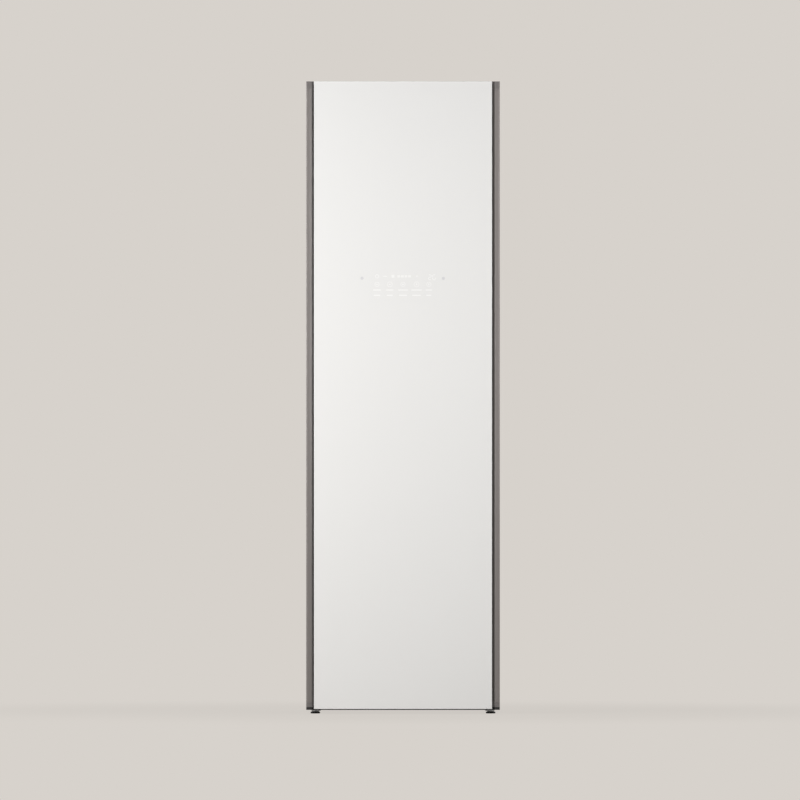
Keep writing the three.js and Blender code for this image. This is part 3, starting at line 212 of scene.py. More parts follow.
# %% Floor finish
floor_finish = bpy.data.materials.new("floor_paper")
floor_finish.use_nodes = True
tree = floor_finish.node_tree
tree.nodes.clear()
reach = add_node(tree, "VectorMath", {0: add_node(tree, "TexCoord").outputs["Object"]}, operation="LENGTH")
fade = add_node(tree, "MapRange", {"Value": reach.outputs["Value"], "From Min": FLOOR_REAL,
                                   "From Max": FLOOR_FADE, "To Min": FLOOR_PLAIN},
                interpolation_type="SMOOTHSTEP")
far_share = maths(tree, "MULTIPLY", fade.outputs[0], direct_rays(tree))
lit = add_node(tree, "BsdfDiffuse", {"Color": FLOOR_COLOUR})
far = add_node(tree, "Emission", {"Color": BACKDROP})
from_below = add_node(tree, "NewGeometry").outputs["Backfacing"]
seen = mixed(tree, from_below, mixed(tree, far_share, lit, far), add_node(tree, "BsdfTransparent"))
add_node(tree, "OutputMaterial", {"Surface": seen.outputs[0]})
floor.data.materials.append(floor_finish)
print("floor finish ready")

# %% [markdown]
# ## Shared effects
# Real surfaces are never one flat colour. Four effects are built once as node groups and then used in many
# finishes with their own numbers: a slow drift of the colour, a fine grain that tips the surface, brush
# lines along one direction, and bare edges where hands and tools rub. They all read Object coordinates, so
# a pattern keeps its real size on every piece.

# %% Node group helpers
FLOAT, COLOUR, VECTOR = "NodeSocketFloat", "NodeSocketColor", "NodeSocketVector"


def new_group(name, inputs, outputs):
    """Makes a node group and gives back the group, what it is given and what it gives out."""
    group = bpy.data.node_groups.new(name, "ShaderNodeTree")
    for label, kind, value in inputs:
        group.interface.new_socket(label, in_out="INPUT", socket_type=kind).default_value = value
    for label, kind in outputs:
        group.interface.new_socket(label, in_out="OUTPUT", socket_type=kind)
    return group, group.nodes.new("NodeGroupInput").outputs, group.nodes.new("NodeGroupOutput").inputs


def object_place(tree):
    return add_node(tree, "TexCoord").outputs["Object"]


print("node group helpers ready")

# %% Colour drift
drift, given, out = new_group(
    "colour_drift",
    [("Colour", COLOUR, (0.5, 0.5, 0.5, 1)), ("Amount", FLOAT, 0.05), ("Scale", FLOAT, 5.0)],
    [("Colour", COLOUR), ("Value", FLOAT)],
)
noise = add_node(drift, "TexNoise", {"Vector": object_place(drift), "Scale": given["Scale"], "Detail": 4,
                                     "Roughness": 0.6}).outputs["Fac"]
swing = maths(drift, "MULTIPLY", maths(drift, "SUBTRACT", noise, 0.5), 2.0)
factor = maths(drift, "ADD", maths(drift, "MULTIPLY", swing, given["Amount"]), 1.0)
scaled = add_node(drift, "VectorMath", {0: given["Colour"], "Scale": factor}, operation="SCALE")
drift.links.new(scaled.outputs[0], out["Colour"])
drift.links.new(noise, out["Value"])
print("colour drift ready")

# %% Grain
def tipped(group, height, given, distance=0.001):
    """The normal that a height gives, as strong as the group's own Height says."""
    return add_node(group, "Bump", {"Height": height, "Strength": given["Height"],
                                    "Distance": distance}).outputs["Normal"]


grain, given, out = new_group(
    "grain", [("Scale", FLOAT, 900.0), ("Height", FLOAT, 0.1)], [("Normal", VECTOR)]
)
noise = add_node(grain, "TexNoise", {"Vector": object_place(grain), "Scale": given["Scale"], "Detail": 3})
grain.links.new(tipped(grain, noise.outputs["Fac"], given), out["Normal"])
print("grain ready")

# %% Brush lines
brush, given, out = new_group(
    "brush_lines",
    [("Stretch", VECTOR, (400, 400, 8)), ("Height", FLOAT, 0.05)],
    [("Normal", VECTOR), ("Value", FLOAT)],
)
stretched = add_node(brush, "VectorMath", {0: object_place(brush), 1: given["Stretch"]}, operation="MULTIPLY")
noise = add_node(brush, "TexNoise", {"Vector": stretched.outputs[0], "Scale": 1, "Detail": 5}).outputs["Fac"]
brush.links.new(tipped(brush, noise, given), out["Normal"])
brush.links.new(noise, out["Value"])
print("brush lines ready")

# %% Rubbed edges
rubbed, given, out = new_group(
    "rubbed_edges", [("Radius", FLOAT, 0.0012), ("Strength", FLOAT, 0.5)], [("Mask", FLOAT)]
)
soft = add_node(rubbed, "Bevel", {"Radius": given["Radius"]}, samples=3)
plain = add_node(rubbed, "NewGeometry")
dot = add_node(rubbed, "VectorMath", {0: soft.outputs["Normal"], 1: plain.outputs["Normal"]},
               operation="DOT_PRODUCT")
turn = maths(rubbed, "MULTIPLY", maths(rubbed, "SUBTRACT", 1.0, dot.outputs["Value"]), 8.0)
patches = add_node(rubbed, "TexNoise", {"Vector": object_place(rubbed), "Scale": 60, "Detail": 4})
broken = maths(rubbed, "MULTIPLY", turn, patches.outputs["Fac"])
limited = add_node(rubbed, "Clamp", {"Value": maths(rubbed, "MULTIPLY", broken, given["Strength"])})
rubbed.links.new(limited.outputs[0], out["Mask"])
print("rubbed edges ready")

# %% [markdown]
# ## Finishes
# Every finish is a Principled shader with its constants on its own sockets, and the shared effects feed its
# colour, roughness and normal. One function makes the plain ones: paint, moulded plastic, rubber and metal
# differ in colour, gloss, metalness, grain and brush. A roughness range stays wholly below or above 0.27,
# where the renderer's noise filter starts to treat a gloss as soft: a range across it shows as blotches.

# %% Finish helpers
def add_group(tree, group, **values):
    return add_node(tree, "Group", values, node_tree=group)


def varied(tree, value, low, high):
    """Spreads a 0 to 1 value over a range, such as a roughness."""
    return add_node(tree, "MapRange", {"Value": value, "From Min": 0.3, "From Max": 0.7,
                                       "To Min": low, "To Max": high}).outputs[0]


def colour_mix(tree, factor, first, second):
    return add_node(tree, "Mix", {"Factor": factor, "A": first, "B": second},
                    data_type="RGBA").outputs["Result"]


def shader_of(material):
    """The sockets of a material's Principled shader."""
    return material.node_tree.nodes["Principled BSDF"].inputs


print("finish helpers ready")

# %% One function for the plain finishes
COAT_ROUGHNESS = 0.08


def finish(name, colour, rough, metal=0.0, drifts=(0.05, 6.0), grained=None, brushed=None,
           edge=None, coat=0.0):
    made = bpy.data.materials.new(name)
    made.use_nodes = True
    tree, sockets = made.node_tree, shader_of(made)
    sockets["Metallic"].default_value = metal
    sockets["Coat Weight"].default_value = coat
    sockets["Coat Roughness"].default_value = COAT_ROUGHNESS
    coloured = add_group(tree, drift, Colour=colour, Amount=drifts[0], Scale=drifts[1])
    value, shown = coloured.outputs["Value"], coloured.outputs["Colour"]
    if grained:
        bumped = add_group(tree, grain, Scale=grained[0], Height=grained[1])
        tree.links.new(bumped.outputs["Normal"], sockets["Normal"])
    if brushed:
        lines = add_group(tree, brush, Stretch=brushed[0], Height=brushed[1])
        tree.links.new(lines.outputs["Normal"], sockets["Normal"])
        value = lines.outputs["Value"]
    if edge:
        mask = add_group(tree, rubbed, Strength=edge[1])
        shown = colour_mix(tree, mask.outputs["Mask"], shown, edge[0])
    tree.links.new(shown, sockets["Base Color"])
    tree.links.new(varied(tree, value, rough[0], rough[1]), sockets["Roughness"])
    return made


print("finish function ready")

# %% Plain finishes
UPRIGHT = (500, 500, 6)
SIDEWAYS = (6, 500, 500)
finishes = {
    "glass_front": finish("white_backed_glass", tone(246, 246, 245), (0.05, 0.09),
                          drifts=(0.006, 1.5), coat=0.6),
    "door_metal": finish("grey_anodised", tone(128, 124, 123), (0.46, 0.54), 0.85, (0.03, 3),
                         brushed=(UPRIGHT, 0.03), edge=(tone(190, 188, 186), 0.35)),
    "door_caps": finish("grey_cap_moulding", tone(120, 116, 115), (0.42, 0.54), 0.3, (0.05, 30),
                        grained=(1500, 0.12), edge=(tone(150, 147, 145), 0.25)),
    "case_paint": finish("powder_coat", tone(139, 137, 135), (0.42, 0.55), 0, (0.03, 4),
                         grained=(1300, 0.18), edge=(tone(180, 178, 176), 0.3)),
    "zinc_steel": finish("zinc_sheet", tone(190, 193, 196), (0.32, 0.5), 0.9, (0.1, 22),
                         brushed=(UPRIGHT, 0.02), edge=(tone(225, 226, 228), 0.3)),
    "bright_steel": finish("bright_steel", tone(205, 206, 208), (0.1, 0.2), 1.0, (0.03, 12),
                           brushed=(SIDEWAYS, 0.015)),
    "black_metal": finish("black_enamel", tone(34, 34, 36), (0.28, 0.42), 0, (0.12, 14),
                          grained=(500, 0.08), edge=(tone(120, 116, 110), 0.35), coat=0.3),
    "fin_metal": finish("coated_fins", tone(196, 172, 128), (0.35, 0.5), 0.85, (0.1, 40),
                        brushed=(UPRIGHT, 0.06)),
    "boiler_shell": finish("boiler_moulding", tone(206, 205, 200), (0.5, 0.62), 0, (0.06, 20),
                           grained=(700, 0.15)),
    "light_plastic": finish("light_moulding", tone(222, 223, 224), (0.36, 0.48), 0, (0.025, 5),
                            grained=(1600, 0.06)),
    "dark_plastic": finish("dark_moulding", tone(86, 87, 90), (0.4, 0.54), 0, (0.06, 14),
                           grained=(1400, 0.1), edge=(tone(128, 128, 130), 0.25)),
    "black_plastic": finish("black_moulding", tone(32, 32, 33), (0.42, 0.56), 0, (0.15, 26),
                            grained=(1400, 0.12), edge=(tone(84, 84, 85), 0.3)),
    "liner_white": finish("liner_moulding", tone(236, 236, 232), (0.29, 0.38), 0, (0.012, 2.5),
                          grained=(700, 0.015), coat=0.15),
    "lamp_lens": finish("opal_lens", tone(246, 244, 236), (0.3, 0.4), 0, (0.02, 8)),
    "circuit": finish("board_lacquer", tone(44, 92, 66), (0.3, 0.5), 0, (0.15, 60),
                      grained=(900, 0.1), coat=0.3),
    "foam": finish("rigid_foam", tone(232, 222, 184), (0.85, 0.95), 0, (0.1, 90),
                   grained=(260, 0.6)),
    "press_cloth": finish("press_cloth", tone(196, 192, 184), (0.8, 0.9), 0, (0.05, 30),
                          grained=(1200, 0.4)),
    "seal_rubber": finish("seal_rubber", tone(122, 122, 124), (0.55, 0.7), 0, (0.06, 12),
                          grained=(1300, 0.1)),
    "hose_rubber": finish("hose_rubber", tone(40, 40, 40), (0.6, 0.75), 0, (0.12, 30),
                          grained=(900, 0.25)),
}
print(f"{len(finishes)} finishes")

# %% [markdown]
# The two water tanks are smoky clear mouldings. Their walls are real solids, so light can pass through
# them: a plain transmission weight with some roughness gives the milky look of blow-moulded plastic. The
# lens of the chamber's lamp glows a little, as the lamp is on while the door is open. The foot of the door's
# lower cap is painted near-black below a set height. This is painted shade where its lower edge turns away
# into shadow, and the line is drawn from the height on the piece.

# %% Tank finish
clear = finish("smoky_clear", tone(206, 218, 227), (0.3, 0.4), drifts=(0.03, 10.0))
shader_of(clear)["Transmission Weight"].default_value = 0.62
shader_of(clear)["IOR"].default_value = 1.45
finishes["tank_clear"] = clear
print("tank finish ready")

# %% Lamp glow
glow = shader_of(finishes["lamp_lens"])
glow["Emission Color"].default_value = (1.0, 0.95, 0.87, 1)
glow["Emission Strength"].default_value = 5.0
print("lamp lens glows")

# %% Painted shade at the foot of the door
# Painted shade: below this height the grey of the door caps turns near-black, where the door's lower edge
# falls into shadow.
PAINTED_SHADE_TOP = 0.0212
PAINTED_SHADE_COLOUR = tone(38, 37, 37)
cap_tree, cap_colour = finishes["door_caps"].node_tree, shader_of(finishes["door_caps"])["Base Color"]
height = add_node(cap_tree, "SeparateXYZ", {0: object_place(cap_tree)}).outputs["Z"]
# Mixes the painted shade colour into the caps below the set height.
plate = colour_mix(cap_tree, maths(cap_tree, "LESS_THAN", height, PAINTED_SHADE_TOP),
                   cap_colour.links[0].from_socket, PAINTED_SHADE_COLOUR)
cap_tree.links.new(plate, cap_colour)
print("end plates ready")

# %% [markdown]
# ## Dressing the measured solids
# Each solid keeps its shape and takes the finish of its slot in the record. The solids come as loose
# triangles, so a Weld joins them and a small Bevel breaks the sharp edges, as a real pressing or moulding
# has them. Pieces of thin sheet get a smaller one. Weighted Normal then lets the largest face at each
# corner decide the shading, so that flat faces stay flat and only the bevels look round.

# %% Finishes onto the solids
FINE_EDGE = {"machine_cover", "back_panel", "top_panel", "side_panel_left", "side_panel_right",
             "inner_liner", "liner_ceiling", "door_liner", "blower_wheel", "front_frame"}
UNBROKEN = {"insulation", "door_foam"}
EDGE, THIN_EDGE, FACE_WEIGHT = 0.0006, 0.0002, 60


def even_shading(piece):
    for polygon in piece.data.polygons:
        polygon.use_smooth = True
    weighted = piece.modifiers.new("shading", "WEIGHTED_NORMAL")
    weighted.mode = "FACE_AREA"
    weighted.weight = FACE_WEIGHT
    weighted.keep_sharp = True


def soften(piece, width):
    weld = piece.modifiers.new("weld", "WELD")
    weld.merge_threshold = 0.00001
    rounding = piece.modifiers.new("edges", "BEVEL")
    rounding.width = width
    rounding.segments = 2
    rounding.limit_method = "ANGLE"
    rounding.angle_limit = math.radians(30)
    rounding.use_clamp_overlap = True
    even_shading(piece)


for row in frame["record"]["subparts"]:
    name = row["node"]
    nodes[name].material_slots[0].material = finishes[row["material_slot"]]
    if name not in UNBROKEN:
        soften(nodes[name], THIN_EDGE if name in FINE_EDGE else EDGE)
print("solids dressed")

# %% [markdown]
# ## Helpers for new pieces
# The pieces that follow are shaped with mesh operators: boxes and rods with bevelled edges, and profiles
# that are extruded round a frame. Their sizes are in millimetres, as on a drawing, and one factor brings
# them to metres. A helper joins closed shapes with the exact Boolean, so that no wall is left inside a
# piece.

# %% Boxes, rods and bevels
def box_between(mesh, low, high):
    made = bmesh.ops.create_cube(mesh, size=1)["verts"]
    size = [(b - a) * MM for a, b in zip(low, high)]
    bmesh.ops.scale(mesh, vec=size, verts=made)
    bmesh.ops.translate(mesh, vec=(Vector(low) + Vector(high)) * MM / 2, verts=made)
    return made


def rod_between(mesh, start, end, radius, segments=24, end_radius=None):
    start, end = Vector(start) * MM, Vector(end) * MM
    turn = (end - start).to_track_quat("Z", "Y").to_matrix().to_4x4()
    last = radius if end_radius is None else end_radius
    return bmesh.ops.create_cone(
        mesh, cap_ends=True, radius1=radius * MM, radius2=last * MM, depth=(end - start).length,
        segments=segments, matrix=Matrix.Translation((start + end) / 2) @ turn)["verts"]


def edges_along(verts, axis):
    """The edges between these vertices that run along one axis."""
    chosen = set(verts)
    edges = {edge for vert in verts for edge in vert.link_edges if set(edge.verts) <= chosen}
    return [edge for edge in edges
            if abs((edge.verts[1].co - edge.verts[0].co).normalized()[axis]) > 0.99]


def edges_at(mesh, axis, level, within=0.00001):
    """The edges that lie in the plane where the coordinate along an axis is this many millimetres."""
    return [edge for edge in mesh.edges
            if all(abs(vert.co[axis] - level * MM) < within for vert in edge.verts)]


def bevel(mesh, edges, width, segments=3):
    bmesh.ops.bevel(mesh, geom=edges, offset=width * MM, offset_type="OFFSET", segments=segments,
                    profile=0.5, affect="EDGES", clamp_overlap=True, material=-1)


print("shape helpers ready")

# %% Boxes and rods of their own
X, Y, Z = 0, 1, 2


def in_mm(corners):
    return [[value / MM for value in corner] for corner in corners]


def new_box(low, high, along=None, rim=None):
    """A box whose edges are rounded along (axis, width, segments) and at (axis, level, width, segments)."""
    mesh = bmesh.new()
    box_between(mesh, low, high)
    if along:
        bevel(mesh, edges_along(mesh.verts, along[0]), *along[1:])
    if rim:
        bevel(mesh, edges_at(mesh, *rim[:2]), *rim[2:])
    return mesh


def new_rod(*shape):
    mesh = bmesh.new()
    rod_between(mesh, *shape)
    return mesh


print("box and rod helpers ready")

# %% Turned shapes
AXES = {"x": Vector((1, 0, 0)), "y": Vector((0, 1, 0)), "z": Vector((0, 0, 1))}
SIDES = {"x": Vector((0, 1, 0)), "y": Vector((1, 0, 0)), "z": Vector((1, 0, 0))}


def spun(mesh, profile, centre, axis, steps=24):
    """Turns (radius, height) pairs round an axis: a closed outline, or a line from axis to axis."""
    turn, out = AXES[axis], SIDES[axis]
    middle = Vector(centre) * MM
    before = set(mesh.faces)
    verts = [mesh.verts.new(middle + (out * radius + turn * height) * MM) for radius, height in profile]
    ends = [] if profile[0][0] == 0 else verts[:1]
    edges = [mesh.edges.new(pair) for pair in zip(verts, verts[1:] + ends)]
    bmesh.ops.spin(mesh, geom=verts + edges, cent=middle, axis=turn, angle=math.tau, steps=steps,
                   use_merge=True)
    corners = {vert for face in mesh.faces if face not in before for vert in face.verts}
    bmesh.ops.remove_doubles(mesh, verts=list(corners), dist=0.000001)
    bmesh.ops.recalc_face_normals(mesh, faces=[face for face in mesh.faces if face not in before])


print("turned shapes ready")

# %% Pieces and unions
SHARP_FROM = math.radians(50)
SAME_PLACE = 0.000005


def fused(first, others, operation="UNION"):
    """Joins or cuts closed bmeshes with the exact Boolean and gives back one bmesh."""
    shapes = [loose_object("shape", mesh) for mesh in (first, *others)]
    for tool in shapes[1:]:
        step = shapes[0].modifiers.new("step", "BOOLEAN")
        step.operation = operation
        step.solver = "EXACT"
        step.object = tool
    settled = shapes[0].evaluated_get(bpy.context.evaluated_depsgraph_get())
    result = bmesh.new()
    result.from_mesh(settled.to_mesh())
    settled.to_mesh_clear()
    for shape in shapes:
        bpy.data.meshes.remove(shape.data)
    bmesh.ops.remove_doubles(result, verts=result.verts, dist=SAME_PLACE)
    return result


def piece_from(name, mesh, slot, body, replaced=(), smooth=True):
    for edge in mesh.edges:
        edge.smooth = edge.calc_face_angle(0) < SHARP_FROM
    piece = loose_object(name, mesh)
    piece.data.materials.append(finishes[slot])
    if smooth:
        even_shading(piece)
    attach(piece, body)
    if replaced:
        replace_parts(piece, *replaced)
    print(f"{name}: {len(piece.data.polygons)} faces")
    return piece


print("piece helpers ready")

# %% [markdown]
# ## Door glass
# The real front is one sheet of tempered glass, painted pale on its back, with ground and polished edges. A
# plane would have no edge at all and a bevel modifier would round the back too, so it is a box whose front
# rim gets a fine bevel. The edge faces have a finish of their own: there one looks along the glass, which
# is greener and darker than through it.

# %% Glass edge finish
glass_edge = finish("ground_glass_edge", tone(176, 190, 184), (0.29, 0.36), drifts=(0.05, 40),
                    grained=(900, 0.04), coat=0.5)
print("glass edge finish ready")

# %% Door glass
glass_low, glass_high = in_mm(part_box("door_glass"))
MARK_DEPTH, GLASS_RIM = 0.1, 0.8
glass_front_y = glass_low[Y] + MARK_DEPTH
mesh = new_box((glass_low[X], glass_front_y, glass_low[Z]), glass_high, rim=(Y, glass_front_y, GLASS_RIM, 3))
door_glass = piece_from("door_glass_sheet", mesh, "glass_front", "door", ["door_glass"])
door_glass.data.materials.append(glass_edge)
for polygon in door_glass.data.polygons:
    if abs(polygon.normal.y) < 0.6:
        polygon.material_index = 1

# %% [markdown]
# ## Display marks
# Behind the glass stands a light board whose signs shine through the paint: a row with a ring, bars and two
# digits, five small signs and two rows of lines under them, with a touch dot at each end. They are a shade
# paler than the glass, and the dots a shade darker. Text objects would bring real lettering, so the signs
# are plain bars, rings and seven-stroke digits, printed a tenth of a millimetre thick on the glass.

# %% Mark helpers
MARK_FRONT = glass_low[Y] + 0.02
MARK_BACK = glass_front_y + 0.3


def mark_bar(mesh, middle, width, height):
    x, z = middle
    box_between(mesh, (x - width / 2, MARK_FRONT, z - height / 2),
                (x + width / 2, MARK_BACK, z + height / 2))


def mark_ring(mesh, middle, radius, wall):
    depth = MARK_BACK - MARK_FRONT
    spun(mesh, [(radius - wall, 0), (radius, 0), (radius, depth), (radius - wall, depth)],
         (middle[0], MARK_FRONT, middle[1]), "y", 20)


def mark_digit(mesh, middle, strokes, width=8.5, height=15, line=2.3):
    """A digit of seven strokes, named by the letters a to g as on a calculator."""
    x, z = middle
    across, upright = (width - line, line), (line, height / 2 - line)
    places = {"a": (0, 2, across), "g": (0, 0, across), "d": (0, -2, across), "f": (-1, 1, upright),
              "b": (1, 1, upright), "e": (-1, -1, upright), "c": (1, -1, upright)}
    for stroke in strokes:
        sideways, up, size = places[stroke]
        mark_bar(mesh, (x + sideways * width / 2, z + up * height / 4), *size)


print("mark helpers ready")

# %% Signs of the display, with their places across and their sizes
TOP_ROW, SIGN_ROW, DIGIT_ROW = 1356, 1331, 1353
TOP_SIGNS = (
    (mark_ring, -80.5, 6, 1.6), (mark_bar, -55.8, 12, 2.2), (mark_bar, -31, 9, 9),
    *((mark_bar, x, 8.5, 7) for x in (-13, -2, 9, 20)), (mark_ring, 43.4, 2.6, 1.4),
)
DIGITS = {83: "abged", 96: "afedc"}
SIGNS = {-80.5: 24, -41: 22, 0: 30, 42: 32, 80: 19}
SIGN_RADII, SIGN_WALL, SIGN_BAR = (7.5, 8.5), 1.5, (7, 2)
LINE_ROWS = ((1313.5, 1, 3.4), (1297, 0.82, 3.8))
print(f"{len(TOP_SIGNS) + len(DIGITS)} signs above and {len(SIGNS)} below")

# %% Display marks
marks = bmesh.new()
for draw, x, *size in TOP_SIGNS:
    draw(marks, (x, TOP_ROW), *size)
for x, strokes in DIGITS.items():
    mark_digit(marks, (x, DIGIT_ROW), strokes)
for count, (x, width) in enumerate(SIGNS.items()):
    mark_ring(marks, (x, SIGN_ROW), SIGN_RADII[count % 2], SIGN_WALL)
    mark_bar(marks, (x, SIGN_ROW), SIGN_BAR[0] - count, SIGN_BAR[1] + count)
    for level, width_share, thickness in LINE_ROWS:
        mark_bar(marks, (x, level), width * width_share, thickness)
display_marks = piece_from("display_marks", marks, "glass_front", "door", ["door_glass"], smooth=False)
display_marks.data.materials[0] = finish("pale_marks", tone(252, 252, 251), (0.28, 0.34), drifts=(0.02, 200))

# %% Touch dots
DOT_PLACES, DOT_RADIUS, DOT_DEPTH = ((-127, 1350), (125, 1349.4)), 5, 0.3
DOT_OUTLINE = ((0, 0), (DOT_RADIUS, 0), (DOT_RADIUS, DOT_DEPTH), (0, DOT_DEPTH))
dots = bmesh.new()
for x, z in DOT_PLACES:
    spun(dots, DOT_OUTLINE, (x, MARK_FRONT, z), "y", 24)
touch_dots = piece_from("touch_dots", dots, "glass_front", "door", ["door_glass"], smooth=False)
touch_dots.data.materials[0] = finish("dark_dots", tone(222, 222, 224), (0.29, 0.36), drifts=(0.08, 300))

# %% [markdown]
# ## Press board and its pad
# On the inside of the door hangs a trouser press: a moulded board with hinge lugs at its edge and ears for
# the two clips, and a padded field on which the trousers lie. The board is hard, so it is made of bevelled
# boxes and rods joined into one. The pad is foam under a woven cover: a rounded slab is blown up a little
# by a cloth simulation, kept flat where it lies on the board, and then gets the two sewn lines that guide
# the creases.

# %% Press board sizes
press_low, press_high = in_mm(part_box("press_pad"))
board_back = press_low[Y]
board_face = board_back + 5
BOARD_HALF, BOARD_CORNER, BOARD_EDGE = 165, 12, 1.4
COVER_AXIS, LUG_HEIGHTS, LUG_RADIUS, LUG_ROOT = (174, -213.7), ((760, 790), (1410, 1440)), 6, 12
CLIP_AXIS, CLIP_MIDDLES = (-220.7, 1544), (-80, 80)
EAR_FROM, EAR_WIDTH, EAR_RADIUS, EAR_ROOT = 23.4, 4, 5, 2
PIN_RADIUS, OVERRUN = 2.4, 5
print(f"press board from {press_low[Z]:.0f} to {press_high[Z]:.0f} mm up")

# %% Press board
board = new_box((-BOARD_HALF, board_back, press_low[Z]), (BOARD_HALF, board_face, press_high[Z]),
                (Y, BOARD_CORNER, 6), (Y, board_face, BOARD_EDGE, 3))
parts, holes = [], []
for low, high in LUG_HEIGHTS:
    lug_end = COVER_AXIS[0] + LUG_RADIUS
    parts.append(new_box((BOARD_HALF - LUG_ROOT, board_back, low), (lug_end, board_face, high)))
    parts.append(new_box((COVER_AXIS[0] - LUG_RADIUS, board_back, low), (lug_end, COVER_AXIS[1], high)))
    parts.append(new_rod((*COVER_AXIS, low), (*COVER_AXIS, high), LUG_RADIUS, 32))
    holes.append(new_rod((*COVER_AXIS, low - OVERRUN), (*COVER_AXIS, high + OVERRUN), PIN_RADIUS))
for middle in CLIP_MIDDLES:
    for side in (-1, 1):
        near, far = sorted((middle + side * EAR_FROM, middle + side * (EAR_FROM + EAR_WIDTH)))
        parts.append(new_box((near, board_face - EAR_ROOT, CLIP_AXIS[1] - EAR_RADIUS),
                             (far, CLIP_AXIS[0], CLIP_AXIS[1] + EAR_RADIUS)))
        parts.append(new_rod((near, *CLIP_AXIS), (far, *CLIP_AXIS), EAR_RADIUS, 32))
        holes.append(new_rod((near - OVERRUN, *CLIP_AXIS), (far + OVERRUN, *CLIP_AXIS), PIN_RADIUS))
board = fused(fused(board, parts), holes, "DIFFERENCE")
piece_from("press_board", board, "light_plastic", "door", ["press_pad"])

# %% Weave
weave, given, out = new_group(
    "weave", [("Pitch", FLOAT, 0.0009), ("Height", FLOAT, 0.5)], [("Normal", VECTOR), ("Value", FLOAT)]
)
split = add_node(weave, "SeparateXYZ", {0: object_place(weave)})
turns = maths(weave, "DIVIDE", math.tau, given["Pitch"])
across, upright = [maths(weave, "SINE", maths(weave, "MULTIPLY", split.outputs[axis], turns), 0)
                   for axis in ("X", "Z")]
threads = maths(weave, "MULTIPLY", across, upright)
weave.links.new(tipped(weave, threads, given, 0.0003), out["Normal"])
weave.links.new(maths(weave, "ADD", maths(weave, "MULTIPLY", threads, 0.5), 0.5), out["Value"])
print("weave ready")

# %% Woven cover
cloth_finish = finishes["press_cloth"]
tree, sockets = cloth_finish.node_tree, shader_of(cloth_finish)
woven = add_group(tree, weave, Pitch=0.0016, Height=0.6)
tree.links.new(woven.outputs["Normal"], sockets["Normal"])
tree.links.new(varied(tree, woven.outputs["Value"], 0.78, 0.95), sockets["Roughness"])
sockets["Sheen Weight"].default_value = 0.3
print("woven cover ready")

# %% Pad as it is cut
PAD_X, PAD_Z, PAD_CORNER, PAD_EDGE = (-155, 155), (710, 1490), 12, 3.5
PAD_BACK, PAD_FRONT, PAD_LIMIT = board_face + 0.2, board_face + 8.5, board_face + 15
pad = new_box((PAD_X[0], PAD_BACK, PAD_Z[0]), (PAD_X[1], PAD_FRONT, PAD_Z[1]),
              (Y, PAD_CORNER, 5), (Y, PAD_FRONT, PAD_EDGE, 4))
press_cushion = loose_object("press_cushion", pad)
remesh = press_cushion.modifiers.new("even", "REMESH")
remesh.mode = "VOXEL"
remesh.voxel_size = 0.004


def settle(piece):
    """Replaces a piece's mesh by what its modifiers make of it, and removes them."""
    view = bpy.context.evaluated_depsgraph_get()
    made = bpy.data.meshes.new_from_object(piece.evaluated_get(view))
    piece.modifiers.clear()
    old, piece.data = piece.data, made
    bpy.data.meshes.remove(old)


settle(press_cushion)
print(f"pad mesh of {len(press_cushion.data.vertices)} points")

# %% Blowing up the pad
BLOW_STEPS, PRESSURE = 20, 4
before = [vert.co.copy() for vert in press_cushion.data.vertices]
blown = press_cushion.modifiers.new("blown", "CLOTH")
blown.settings.use_pressure = True
blown.settings.uniform_pressure_force = PRESSURE
blown.settings.effector_weights.gravity = 0
blown.settings.quality = 4
blown.point_cache.frame_start, blown.point_cache.frame_end = 1, BLOW_STEPS
for step in range(1, BLOW_STEPS + 1):
    bpy.context.scene.frame_set(step)
settle(press_cushion)
bpy.context.scene.frame_set(1)
print("pad blown up")

# %% Pad lying on its board, with sewn lines
MOST, PAD_SPREAD, FLAT_BELOW = 0.005, 1.5, 1
SEAMS, SEAM_WIDTH, SEAM_DEPTH = (-80, 80), 2.2, 1.8
PAD_SPACE = ((PAD_X[0] - PAD_SPREAD, PAD_X[1] + PAD_SPREAD), (PAD_BACK, PAD_LIMIT),
             (PAD_Z[0] - PAD_SPREAD, PAD_Z[1] + PAD_SPREAD))


def seam_depth(x):
    return sum(SEAM_DEPTH * math.exp(-((x / MM - seam) / SEAM_WIDTH) ** 2) for seam in SEAMS)


for vert, start in zip(press_cushion.data.vertices, before):
    moved = vert.co - start
    if moved.length > MOST:
        vert.co = start + moved.normalized() * MOST
    crown = math.sin(math.pi * min(max((vert.co.z / MM - PAD_Z[0]) / (PAD_Z[1] - PAD_Z[0]), 0), 1)) ** 0.3
    if start.y > (PAD_BACK + FLAT_BELOW) * MM:
        vert.co.y -= seam_depth(vert.co.x) * crown * MM
    for axis, (least, most) in enumerate(PAD_SPACE):
        vert.co[axis] = min(max(vert.co[axis], least * MM), most * MM)
print("pad sewn")

# %% Pad as a piece
finer = press_cushion.modifiers.new("finer", "SUBSURF")
finer.levels = finer.render_levels = 1
for polygon in press_cushion.data.polygons:
    polygon.use_smooth = True
press_cushion.data.materials.clear()
press_cushion.data.materials.append(cloth_finish)
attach(press_cushion, "door")
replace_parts(press_cushion, "press_pad")
tallest = max(vert.co.y for vert in press_cushion.data.vertices) / MM
print(f"pad stands {tallest - board_face:.1f} mm high on the board")

# %% [markdown]
# ## Door seal
# The seal is a soft hollow strip round the door's inner face: a foot, a folded bellows and a magnet tube
# that pulls itself onto the case. Its cross-section is drawn once at a corner and extruded round the four
# corners by mirroring, which keeps the mitres exact.

